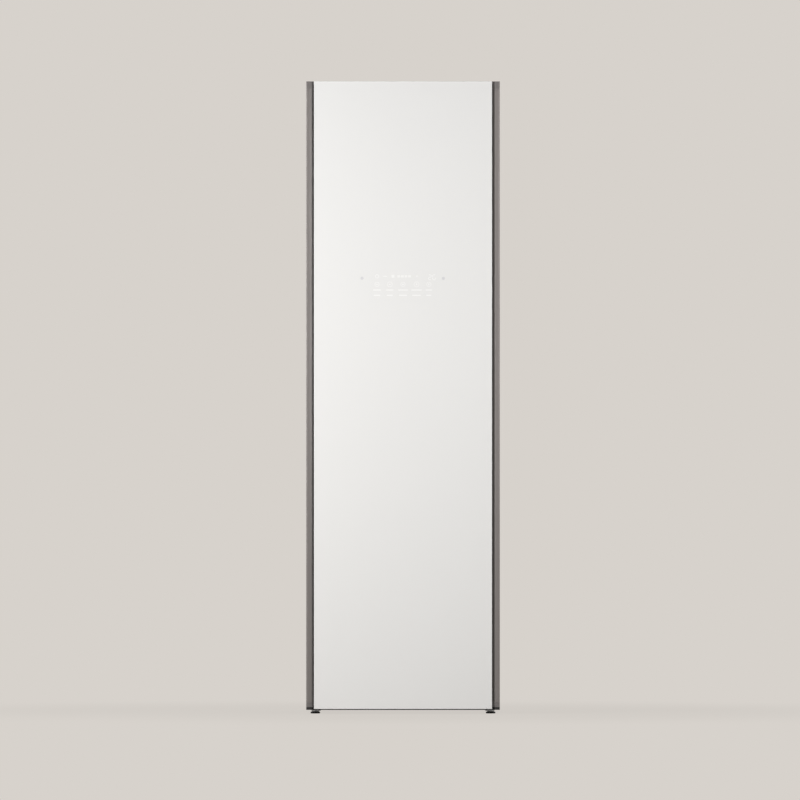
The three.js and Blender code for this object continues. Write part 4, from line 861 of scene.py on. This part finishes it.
# %% Framed sections
def framed(mesh, outline, half_width, low, top):
    """Carries a closed outline of (inward, y) pairs round a rectangle, in millimetres."""
    centre = Vector((0, 0, (low + top) / 2)) * MM
    verts = [mesh.verts.new(Vector((inward - half_width, y, low + inward)) * MM) for inward, y in outline]
    first = [mesh.edges.new(pair) for pair in zip(verts, verts[1:] + verts[:1])]
    edges = first
    for flip in ((-1, 1, 1), (1, 1, -1), (-1, 1, 1)):
        made = bmesh.ops.extrude_edge_only(mesh, edges=edges)["geom"]
        moved = [item for item in made if isinstance(item, bmesh.types.BMVert)]
        edges = [item for item in made if isinstance(item, bmesh.types.BMEdge)
                 and set(item.verts) <= set(moved)]
        bmesh.ops.scale(mesh, vec=flip, verts=moved, space=Matrix.Translation(-centre))
    bmesh.ops.bridge_loops(mesh, edges=edges + first)
    bmesh.ops.recalc_face_normals(mesh, faces=mesh.faces)


print("frame helper ready")

# %% Door seal
seal_low, seal_high = in_mm(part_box("door_gasket"))
SEAL_OUTLINE = (
    (1.5, 0), (10.5, 0), (10.5, 0.9), (8.2, 1.5), (10.6, 2.5), (10.6, 3.1), (8.6, 3.7), (11.6, 4.4),
    (12, 5), (12, 7.0), (11.4, 7.4), (0.6, 7.4), (0, 7.0), (0, 5), (0.4, 4.4), (3.4, 3.7), (1.4, 3.1),
    (1.4, 2.5), (3.8, 1.5), (1.5, 0.9),
)
SEAL_ROUNDING, SHORTEST_ROUNDED = 0.25, 0.3
seal = bmesh.new()
framed(seal, [(inward, seal_low[Y] + y) for inward, y in SEAL_OUTLINE], seal_high[X], seal_low[Z],
       seal_high[Z])
bevel(seal, [edge for edge in seal.edges if edge.calc_length() > SHORTEST_ROUNDED], SEAL_ROUNDING, 2)
piece_from("door_seal", seal, "seal_rubber", "door", ["door_gasket"])

# %% [markdown]
# ## Press cover and inner panel of the door
# Both are mouldings that are too large to stay flat without some relief. The cover gets a shallow sunk
# field on its outer face and three ribs in its hollow. The panel of the door gets a rounded bead all the
# way round. They start from a copy of the measured solid, and closed shapes are joined to it or cut out of
# it.

# %% Copy of a measured solid
def cad_copy(node):
    mesh = bmesh.new()
    mesh.from_mesh(nodes[node].data)
    bmesh.ops.remove_doubles(mesh, verts=mesh.verts, dist=SAME_PLACE)
    return mesh


print("copy helper ready")

# %% Press cover
COVER_FACE, COVER_FIELD_X, COVER_FIELD_Z = -209.7, (-154, 146), (713, 1484)
FIELD_SINK, FIELD_CORNER, FIELD_EDGE = 0.8, 16, 0.5
COVER_RIBS, RIB_HALF, RIB_Y, RIB_Z, RIB_EDGE = (-90, 0, 90), 1.5, (-215.5, -212), (699, 1496), 0.8
field_floor = COVER_FACE - FIELD_SINK
sunk = new_box((COVER_FIELD_X[0], field_floor, COVER_FIELD_Z[0]),
               (COVER_FIELD_X[1], COVER_FACE + OVERRUN, COVER_FIELD_Z[1]),
               (Y, FIELD_CORNER, 6), (Y, field_floor, FIELD_EDGE, 2))
ribs = [new_box((x - RIB_HALF, RIB_Y[0], RIB_Z[0]), (x + RIB_HALF, RIB_Y[1], RIB_Z[1]),
                rim=(Y, RIB_Y[0], RIB_EDGE, 2)) for x in COVER_RIBS]
cover_tray = fused(fused(cad_copy("press_cover"), ribs), [sunk], "DIFFERENCE")
piece_from("press_cover_tray", cover_tray, "light_plastic", "press_cover", ["press_cover"])

# %% Inner panel of the door
BEAD_HALF, BEAD_LOW, BEAD_TOP = 250, 72, 1900
BEAD = ((0, -239.5), (0, -237.9), (1.6, -237.2), (4.4, -235.8), (8, -235.3), (11.6, -235.8), (14.4, -237.2),
        (16, -237.9), (16, -239.5))
bead = bmesh.new()
framed(bead, BEAD, BEAD_HALF, BEAD_LOW, BEAD_TOP)
panel = fused(cad_copy("door_liner"), [bead])
piece_from("door_inner_panel", panel, "liner_white", "door", ["door_liner"])

# %% [markdown]
# ## Levelling feet
# Each foot is a rubber sole under a moulded glide, a hexagon for the spanner and a threaded stem. All of it
# is round but the hexagon, so the outlines are spun. The thread is a row of ridges instead of a true helix:
# at this size nobody sees the difference, and the ridges close by themselves.

# %% Finishes and outlines of a foot
sole_black = finish("black_sole", tone(20, 20, 20), (0.75, 0.9), 0, (0.12, 80), grained=(1200, 0.2))
glide_grey = finish("grey_glide", tone(168, 167, 167), (0.3, 0.4), 0.8, (0.08, 60))
stem_steel = finish("zinc_stem", tone(176, 178, 180), (0.3, 0.45), 0.9, (0.08, 60))
SOLE = ((0, 0), (12.2, 0), (14.2, 0.6), (15, 1.9), (15, 3.9), (14.4, 5), (12.8, 5.7), (0, 5.7))
GLIDE = ((0, 5.8), (11.4, 5.8), (12, 6.3), (12, 6.9), (11.2, 7.5), (9.6, 8), (9.2, 8.4), (0, 8.4))
THREAD = ((0, 13.6), *((4.0 if ridge % 2 else 3.4, 13.6 + 0.62 * ridge) for ridge in range(28)),
          (2.8, 31.6), (0, 32))
HEXAGON_Z, HEXAGON_RADIUS, HEXAGON_EDGE = (8.5, 13.5), 11, 0.4
print(f"foot outlines of {len(SOLE)}, {len(GLIDE)} and {len(THREAD)} points")

# %% Levelling feet
FEET = {"foot_front_left": "foot_fl", "foot_front_right": "foot_fr", "foot_rear_left": "foot_rl",
        "foot_rear_right": "foot_rr"}
for node, body in FEET.items():
    low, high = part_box(node)
    x, y = (low.x + high.x) / 2 / MM, (low.y + high.y) / 2 / MM
    mesh = bmesh.new()
    spun(mesh, SOLE, (x, y, 0), "z", 40)
    sole_faces = len(mesh.faces)
    spun(mesh, GLIDE, (x, y, 0), "z", 40)
    glide_faces = len(mesh.faces)
    verts = rod_between(mesh, (x, y, HEXAGON_Z[0]), (x, y, HEXAGON_Z[1]), HEXAGON_RADIUS, 6)
    bevel(mesh, edges_along(verts, Z), HEXAGON_EDGE, 2)
    spun(mesh, THREAD, (x, y, 0), "z", 16)
    foot = piece_from(node + "_glide", mesh, "black_plastic", body, [node])
    foot.data.materials[0] = sole_black
    for material in (glide_grey, stem_steel):
        foot.data.materials.append(material)
    for polygon in foot.data.polygons:
        polygon.material_index = 0 if polygon.index < sole_faces else 1 if polygon.index < glide_faces else 2

# %% [markdown]
# ## Back of the case
# The back is thin galvanised sheet with pressed fields, which stop it from drumming, and flat screws round
# its margin. A flat plate would look like board. The sheet is a grid that is cut at the edges of the
# fields, the fields are inset and lifted, and Solidify gives the sheet its half millimetre.

# %% Turning, stepping and walls
def turned(degrees, axis):
    return Matrix.Rotation(math.radians(degrees), 3, axis)


def step_field(mesh, faces, rim, move):
    """Insets a field of faces by a rim and moves what is inside it, in millimetres."""
    bmesh.ops.inset_region(mesh, faces=faces, thickness=rim * MM, use_even_offset=True)
    inside = list({vert for face in faces for vert in face.verts})
    bmesh.ops.translate(mesh, vec=Vector(move) * MM, verts=inside)


def add_wall(piece, thickness):
    """Gives an open surface a wall on its inner side, in millimetres."""
    wall = piece.modifiers.new("wall", "SOLIDIFY")
    wall.thickness = thickness * MM
    wall.offset = -1


print("sheet helpers ready")

# %% Pressed sheet
FIELD_LIFT, FIELD_SLOPE, SHEET = 0.7, 2.5, 0.5


def pressed_sheet(mesh, low, high, fields):
    """A sheet facing +Y between two corners, with fields (x from, x to, z from, z to) raised."""
    made = bmesh.ops.create_grid(mesh, x_segments=1, y_segments=1, size=0.5)["verts"]
    bmesh.ops.scale(mesh, vec=Vector((high[X] - low[X], high[Z] - low[Z], 0)) * MM, verts=made)
    bmesh.ops.rotate(mesh, matrix=turned(-90, "X"), verts=made)
    middle = ((low[X] + high[X]) / 2, high[Y] - FIELD_LIFT, (low[Z] + high[Z]) / 2)
    bmesh.ops.translate(mesh, vec=Vector(middle) * MM, verts=made)
    cuts = {(X, value) for field in fields for value in field[:2]}
    cuts |= {(Z, value) for field in fields for value in field[2:]}
    for axis, value in sorted(cuts):
        place, normal = Vector((0, 0, 0)), Vector((0, 0, 0))
        place[axis], normal[axis] = value * MM, 1
        bmesh.ops.bisect_plane(mesh, geom=list(mesh.verts) + list(mesh.edges) + list(mesh.faces),
                               plane_co=place, plane_no=normal)
    for x0, x1, z0, z1 in fields:
        inside = [face for face in mesh.faces
                  if x0 < face.calc_center_median().x / MM < x1
                  and z0 < face.calc_center_median().z / MM < z1]
        step_field(mesh, inside, FIELD_SLOPE, (0, FIELD_LIFT, 0))


print("pressed sheet ready")

# %% Back panel
back_low, back_high = in_mm(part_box("back_panel"))
FIELD_HALF, FIELD_HEIGHTS = 276, ((354, 866), (892, 1404), (1430, 1930))
mesh = bmesh.new()
pressed_sheet(mesh, back_low, back_high, [(-FIELD_HALF, FIELD_HALF, *pair) for pair in FIELD_HEIGHTS])
back_sheet = piece_from("back_sheet", mesh, "zinc_steel", "cabinet", ["back_panel"], smooth=False)
add_wall(back_sheet, SHEET)
even_shading(back_sheet)

# %% Louvres behind the slots of the machine room cover
SLOT_X, SLOT_FROM, SLOT_PITCH, SLOT_ROWS, SLOT_MIDDLE = (40, 190), 110, 16, 9, 4.5
LOUVRE_Y, LOUVRE_AXIS_Y, LOUVRE_HALF, LOUVRE_SPREAD, LOUVRE_TILT = (289, 297.5), 293.2, 0.4, 3, -38
mesh = bmesh.new()
for row in range(SLOT_ROWS):
    for side in (-1, 1):
        x = sorted(side * value for value in SLOT_X)
        level = SLOT_FROM + row * SLOT_PITCH + SLOT_MIDDLE
        verts = box_between(mesh, (x[0] - LOUVRE_SPREAD, LOUVRE_Y[0], level - LOUVRE_HALF),
                            (x[1] + LOUVRE_SPREAD, LOUVRE_Y[1], level + LOUVRE_HALF))
        bmesh.ops.rotate(mesh, cent=Vector((0, LOUVRE_AXIS_Y, level)) * MM, verts=verts,
                         matrix=turned(LOUVRE_TILT, "X"))
piece_from("cover_louvres", mesh, "zinc_steel", "cabinet")

# %% One screw with a cross in its head
def screw_template(radius, head):
    shape = bmesh.new()
    spun(shape, [(0, 0), (radius, 0), (radius, head * 0.4), (radius * 0.86, head), (0, head)],
         (0, 0, 0), "z", 20)
    arm, half = radius * 0.62, radius * 0.14
    slots = [new_box((-arm, -half, head * 0.3), (arm, half, head * 2)) for _ in range(2)]
    bmesh.ops.rotate(slots[1], matrix=turned(90, "Z"), verts=slots[1].verts)
    data = bpy.data.meshes.new("screw")
    shape = fused(shape, slots, "DIFFERENCE")
    shape.to_mesh(data)
    shape.free()
    return data


def add_screws(mesh, template, places, matrix):
    """Sets copies of a screw at places in millimetres, each turned by another angle."""
    for index, place in enumerate(places):
        count = len(mesh.verts)
        mesh.from_mesh(template)
        mesh.verts.ensure_lookup_table()
        fresh = mesh.verts[count:]
        bmesh.ops.rotate(mesh, matrix=Matrix.Rotation(index * 2.4, 3, "Z"), verts=fresh)
        bmesh.ops.rotate(mesh, matrix=matrix, verts=fresh)
        bmesh.ops.translate(mesh, vec=Vector(place) * MM, verts=fresh)


print("screw helpers ready")

# %% Screws of the back and of the machine room cover
SCREW_RADIUS, SCREW_HEAD = 4.2, 0.68
SIDE_SCREWS, END_SCREWS = (288, (345, 640, 940, 1240, 1540, 1840)), ((-210, -70, 70, 210), (343, 1941))
COVER_SIDE_SCREWS, COVER_END_SCREWS = (287, (44, 175, 306)), ((-150, 0, 150), (32, 318))
screw_y = back_high[Y] - FIELD_LIFT


def margin_places(sides, ends):
    """Places down both sides, from (half width, heights), then along the ends, from (across, heights)."""
    places = [(side * sides[0], screw_y, z) for side in (-1, 1) for z in sides[1]]
    return places + [(x, screw_y, z) for x in ends[0] for z in ends[1]]


flat_screw = screw_template(SCREW_RADIUS, SCREW_HEAD)
cover_places = margin_places(COVER_SIDE_SCREWS, COVER_END_SCREWS)
mesh = bmesh.new()
for places in (margin_places(SIDE_SCREWS, END_SCREWS), cover_places):
    add_screws(mesh, flat_screw, places, turned(-90, "X"))
piece_from("case_screws", mesh, "bright_steel", "cabinet")

# %% Machine room cover with sunk screw seats
SEAT_RADIUS, SEAT_MOUTH, SEAT_SINK = 5.4, 6.4, 0.05
seats = [new_rod((x, y - SEAT_SINK, z), (x, y + OVERRUN, z), SEAT_RADIUS, 24, SEAT_MOUTH)
         for x, y, z in cover_places]
cover_shape = fused(cad_copy("machine_cover"), seats, "DIFFERENCE")
piece_from("rear_cover", cover_shape, "zinc_steel", "cabinet", ["machine_cover"])

# %% [markdown]
# ## Chamber liner
# The chamber is a thermoformed tub: its rear corners are round and its back wall has a shallow panel
# pressed into it. It starts as a box whose front, top and bottom are open. The two rear edges are bevelled
# wide, the back wall is inset and pushed forward, and Solidify makes the wall. The ledges of the shelf are
# joined on.

# %% Chamber tub
liner_low, liner_high = in_mm(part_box("inner_liner"))
LINER_CORNER, LINER_WALL, PANEL_STEPS = 20, 1.5, ((46, 0), (5, 3.5))
mesh = new_box(liner_low, liner_high)
open_faces = [face for face in mesh.faces if face.normal.y < -0.5 or abs(face.normal.z) > 0.5]
rear = [edge for edge in edges_along(mesh.verts, Z) if edge.verts[0].co.y > 0]
bmesh.ops.delete(mesh, geom=open_faces, context="FACES_ONLY")
bevel(mesh, rear, LINER_CORNER, 8)
wall = [face for face in mesh.faces if face.normal.y > 0.99]
for rim, rise in PANEL_STEPS:
    step_field(mesh, wall, rim, (0, -rise, 0))
tub = loose_object("tub", mesh)
add_wall(tub, LINER_WALL)
settle(tub)
walled = bmesh.new()
walled.from_mesh(tub.data)
bpy.data.meshes.remove(tub.data)
print(f"tub of {len(walled.faces)} faces")

# %% Chamber liner with its ledges
LEDGE_INSIDE, LEDGE_Y, LEDGE_Z, LEDGE_ROUNDING = 240, (-189.7, 234.7), (624, 633.7), 2.5
ledges = []
for side in (-1, 1):
    x = sorted((side * LEDGE_INSIDE, side * (liner_high[X] - LINER_WALL / 2)))
    ledge = new_box((x[0], LEDGE_Y[0], LEDGE_Z[0]), (x[1], LEDGE_Y[1], LEDGE_Z[1]))
    inner = [edge for edge in edges_along(ledge.verts, Y)
             if abs(edge.verts[0].co.x) < (LEDGE_INSIDE + LINER_WALL) * MM]
    bevel(ledge, inner, LEDGE_ROUNDING, 4)
    ledges.append(ledge)
piece_from("chamber_liner", fused(walled, ledges), "liner_white", "cabinet", ["inner_liner"])

# %% [markdown]
# ## Water tanks and their lids
# The tanks are blow-moulded, so all their edges are round, and a pocket behind the bar makes room for the
# fingers. The outside and the inside are the same bevelled box, the inside smaller by the wall, and so is
# the pocket. The exact Boolean takes one from the other. A lid is a thin plate with a sunk field, a notch
# to lift it by and a barrel along its rear edge.

# %% Tank form
TANK_WALL, TANK_CORNER, TANK_FOOT = 2.5, 14, 7
POCKET_HALF, POCKET_LOW, POCKET_TOP, POCKET_DEPTH = 44, 258, 307, 17
POCKET_CORNER, POCKET_BACK_EDGE = 9, 5


def tank_form(low, high, wall):
    """The tank's outer form, or its inner one at a wall's distance, less the finger pocket."""
    tub = new_box([value + wall for value in low], (high[X] - wall, high[Y] - wall, high[Z] + 2 * wall),
                  (Z, TANK_CORNER - wall, 6), (Z, low[Z] + wall, TANK_FOOT - wall, 4))
    middle, back = (low[X] + high[X]) / 2, low[Y] + POCKET_DEPTH + wall
    pocket = new_box((middle - POCKET_HALF - wall, low[Y] - OVERRUN, POCKET_LOW - wall),
                     (middle + POCKET_HALF + wall, back, POCKET_TOP + wall),
                     (Y, POCKET_CORNER + wall, 5), (Y, back, POCKET_BACK_EDGE, 3))
    return fused(tub, [pocket], "DIFFERENCE")


print("tank form ready")

# %% Tank shells
TANK_SIDES, TANK_DEPTH = {"fill_tank": 1, "drain_tank": -1}, 137.8
BAR_HALF, BAR_LOW, BAR_TOP, BAR_PROUD, BAR_ROOT, BAR_EDGE = 55, 291.3, 300.3, 7, 1.5, 2.8
for node in TANK_SIDES:
    low, high = in_mm(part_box(node))
    low[Y] = front = high[Y] - TANK_DEPTH
    middle = (low[X] + high[X]) / 2
    outside, inside = [tank_form(low, high, wall) for wall in (0, TANK_WALL)]
    bar = new_box((middle - BAR_HALF, front - BAR_PROUD, BAR_LOW),
                  (middle + BAR_HALF, front + BAR_ROOT, BAR_TOP),
                  rim=(Y, front - BAR_PROUD, BAR_EDGE, 4))
    shell = fused(fused(outside, [inside], "DIFFERENCE"), [bar])
    piece_from(node + "_shell", shell, "tank_clear", node, [node])

# %% Tank lids
LID_CORNER, LID_EDGE, LID_STEPS = 12, 1.6, ((9, 0), (1.2, 1.3))
NOTCH_HALF, NOTCH_DEPTH, NOTCH_TOP, NOTCH_CORNER = 35, 14, 4, 6
for node in TANK_SIDES:
    low, high = in_mm(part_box(node + "_lid"))
    middle, radius = (low[X] + high[X]) / 2, (high[Z] - low[Z]) / 2
    axis = (high[Y] - radius, low[Z] + radius)
    plate = new_box(low, (high[X], axis[0], high[Z]))
    front_corners = [edge for edge in edges_along(plate.verts, Z) if edge.verts[0].co.y < -0.2]
    bevel(plate, front_corners, LID_CORNER, 5)
    bevel(plate, edges_at(plate, Z, high[Z]), LID_EDGE, 3)
    for rim, drop in LID_STEPS:
        field = [face for face in plate.faces if face.normal.z > 0.99 and face.calc_area() > 0.01]
        step_field(plate, field, rim, (0, 0, -drop))
    barrel = new_rod((low[X], *axis), (high[X], *axis), radius, 24)
    notch = new_box((middle - NOTCH_HALF, low[Y] - OVERRUN, low[Z] - OVERRUN),
                    (middle + NOTCH_HALF, low[Y] + NOTCH_DEPTH, low[Z] + NOTCH_TOP), (Z, NOTCH_CORNER, 4))
    cap = fused(fused(plate, [barrel]), [notch], "DIFFERENCE")
    piece_from(node + "_cap", cap, "light_plastic", node.replace("tank", "lid"), [node + "_lid"])

# %% [markdown]
# ## Level lines of the tanks
# Each tank has raised lines on its front that show how full it is, long ones and short ones in turn,
# without figures. They are thin bars with rounded ends that stand half a millimetre out of the wall.

# %% Level lines
LINE_COUNT, LINE_FROM, LINE_STEP, LINE_PROUD, LINE_ROOT = 9, 112, 19, 0.5, 1
LINE_INSET, LINE_LENGTHS, LINE_HALF, LINE_ROUNDING = 26, (26, 16), 0.8, 0.75
for node, side in TANK_SIDES.items():
    low, high = in_mm(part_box(node))
    outer_x = high[X] - LINE_INSET if side > 0 else low[X] + LINE_INSET
    front_y = high[Y] - TANK_DEPTH
    mesh = bmesh.new()
    for step in range(LINE_COUNT):
        x = sorted((outer_x, outer_x - side * LINE_LENGTHS[step % 2]))
        z = LINE_FROM + step * LINE_STEP
        verts = box_between(mesh, (x[0], front_y - LINE_PROUD, z - LINE_HALF),
                            (x[1], front_y + LINE_ROOT, z + LINE_HALF))
        bevel(mesh, edges_along(verts, Y), LINE_ROUNDING, 3)
    piece_from(node + "_lines", mesh, "tank_clear", node)

# %% [markdown]
# ## Net of the lint filter
# The filter is a frame with a fine net on both faces. A net painted on a plane would vanish from the side,
# and a wireframe modifier makes far too many faces, so thin square wires are laid across each other.

# %% Lint filter net
NET_X, NET_Z, NET_FACES, NET_PITCH, WIRE, NET_ROOT = (-228, -72), (203, 314), (-45.2, -38.8), 3.1, 0.35, 1
mesh = bmesh.new()
for y in NET_FACES:
    for step in range(1, round((NET_X[1] - NET_X[0]) / NET_PITCH)):
        x = NET_X[0] + step * NET_PITCH
        box_between(mesh, (x - WIRE, y - WIRE, NET_Z[0] - NET_ROOT), (x + WIRE, y, NET_Z[1] + NET_ROOT))
    for step in range(1, round((NET_Z[1] - NET_Z[0]) / NET_PITCH)):
        z = NET_Z[0] + step * NET_PITCH
        box_between(mesh, (NET_X[0] - NET_ROOT, y, z - WIRE), (NET_X[1] + NET_ROOT, y + WIRE, z + WIRE))
piece_from("filter_net", mesh, "dark_plastic", "filter", smooth=False)

# %% [markdown]
# ## Steam hose
# A short rubber hose carries the steam from the boiler to the nozzle in the deck. It goes from port to
# port, so its length is fixed by its route, and it has a spring clamp at each end. A curve with two handles
# draws the route of the solid, and its bevel gives the round section.

# %% Steam hose
HOSE_FROM, HOSE_TO, HOSE_RADIUS, HOSE_REACH = (150, 22, 139.6), (150, 60, 315.7), 8, 80


def tube_curve(name, radius, roundness, material):
    """A curve that is a round tube of this radius in millimetres."""
    data = bpy.data.curves.new(name, "CURVE")
    data.dimensions = "3D"
    data.bevel_depth = radius * MM
    data.bevel_resolution = roundness
    data.use_fill_caps = True
    data.materials.append(material)
    return data


line = tube_curve("steam_hose_tube", HOSE_RADIUS, 6, finishes["hose_rubber"])
line.resolution_u = 24
route = line.splines.new("BEZIER")
route.bezier_points.add(1)
for point, place in zip(route.bezier_points, (HOSE_FROM, HOSE_TO)):
    point.co = Vector(place) * MM
    point.handle_right = Vector((place[X], place[Y], place[Z] + HOSE_REACH)) * MM
    point.handle_left = Vector((place[X], place[Y], place[Z] - HOSE_REACH)) * MM
steam_hose = placed("steam_hose_tube", line)
print("hose laid from port to port")

# %% Spring clamps of the hose
CLAMP_HEIGHTS, CLAMP_RING = (150, 298), ((8.1, 0), (9.2, 0), (9.2, 8), (8.1, 8))
CLAMP_EAR_X, CLAMP_EAR_Y, CLAMP_EAR_Z = (1.5, 3), (8.8, 14), (1, 7)
clamps = bmesh.new()
for (x, y, _), z in zip((HOSE_FROM, HOSE_TO), CLAMP_HEIGHTS):
    spun(clamps, CLAMP_RING, (x, y, z), "z", 24)
    for side in (-1, 1):
        ear = sorted(x + side * value for value in CLAMP_EAR_X)
        box_between(clamps, (ear[0], y + CLAMP_EAR_Y[0], z + CLAMP_EAR_Z[0]),
                    (ear[1], y + CLAMP_EAR_Y[1], z + CLAMP_EAR_Z[1]))
hose_clamps = piece_from("hose_clamps", clamps, "bright_steel", "cabinet")

# %% Hose as a piece
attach(steam_hose, "cabinet")
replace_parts(steam_hose, "steam_hose")
ends = route.bezier_points
steps = interpolate_bezier(ends[0].co, ends[0].handle_right, ends[1].handle_left, ends[1].co, 60)

# %% [markdown]
# ## Coils of the heat pump
# Evaporator and condenser are packs of thin fins on one copper tube that goes to and fro through them. A
# block with grooves would read as a cast radiator, so each fin is a plate of its own between two end
# plates. The tube is a curve through points: straight runs, and half turns that a small helper adds. Three
# more tubes close the round from the compressor to the coils.

# %% Tube helpers
copper = finish("copper_tube", tone(196, 122, 88), (0.29, 0.42), 0.95, (0.15, 60))
TUBE_RADIUS, TURN_STEPS = 4, 8


def half_turn(start, end, outward):
    """The points of a half circle from one point to another, bulging along a direction."""
    middle, reach = (start + end) / 2, (end - start) / 2
    angles = [math.pi * step / TURN_STEPS for step in range(TURN_STEPS + 1)]
    return [middle - reach * math.cos(angle) + outward * reach.length * math.sin(angle) for angle in angles]


def tube_piece(name, kind, routes):
    data = tube_curve(name, TUBE_RADIUS, 2, copper)
    for points in routes:
        spline = data.splines.new(kind)
        targets = spline.points if kind == "POLY" else spline.bezier_points
        targets.add(len(points) - 1)
        for target, place in zip(targets, points):
            if kind == "POLY":
                target.co = (*(place * MM), 1)
            else:
                target.co = place * MM
                target.handle_left_type = target.handle_right_type = "AUTO"
    piece = placed(name, data)
    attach(piece, "cabinet")
    return piece


print("tube helpers ready")

# %% Coils
FIN_PITCH, FIN_HALF, FIN_INSET_Y, FIN_INSET_Z, END_HALF = 2.6, 0.12, 1, 2, 0.7
TUBE_PITCH, TUBE_ROWS, TUBE_PROUD, COIL_MARGIN = 27, 9, 3, 12
LEFTWARD = Vector((-1, 0, 0))
for node in ("evaporator", "condenser"):
    low, high = [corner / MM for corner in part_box(node)]
    left, right = low.x + COIL_MARGIN, high.x - COIL_MARGIN
    mesh = bmesh.new()
    for x in (left, right):
        box_between(mesh, (x - END_HALF, low.y, low.z), (x + END_HALF, high.y, high.z))
    for step in range(1, round((right - left) / FIN_PITCH)):
        x = left + step * FIN_PITCH
        box_between(mesh, (x - FIN_HALF, low.y + FIN_INSET_Y, low.z + FIN_INSET_Z),
                    (x + FIN_HALF, high.y - FIN_INSET_Y, high.z - FIN_INSET_Z))
    piece_from(node + "_fins", mesh, "fin_metal", "cabinet", [node], smooth=False)
    near, far, points = low.y + COIL_MARGIN, high.y - COIL_MARGIN, []
    left, right = left - TUBE_PROUD, right + TUBE_PROUD
    for row in range(TUBE_ROWS):
        level = low.z + (row + 1) * TUBE_PITCH
        start = Vector((right, near, level))
        points += half_turn(points[-1], start, -LEFTWARD)[1:] if points else [start]
        points += half_turn(Vector((left, near, level)), Vector((left, far, level)), LEFTWARD)
        points.append(Vector((right, far, level)))
    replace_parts(tube_piece(node + "_tube", "POLY", [points]), node)

# %% Lines between the coils and the compressor
LINES = (
    ((-75, 77.5, 260.3), (-40, 79, 262), (30, 104, 264), (128, 172, 246), (150, 180, 192)),
    ((-75, 12.5, 260.3), (-40, 14, 262), (30, 52, 268), (86, 112, 236), (102, 132, 160), (106, 136, 100)),
    ((-75, 56.5, 44.3), (-52, 50, 44.3), (-44, 24, 44.3), (-52, -2, 44.3), (-75, -8.5, 44.3)),
)
tube_piece("refrigerant_lines", "BEZIER", [[Vector(place) for place in line] for line in LINES])
print("heat pump closed")
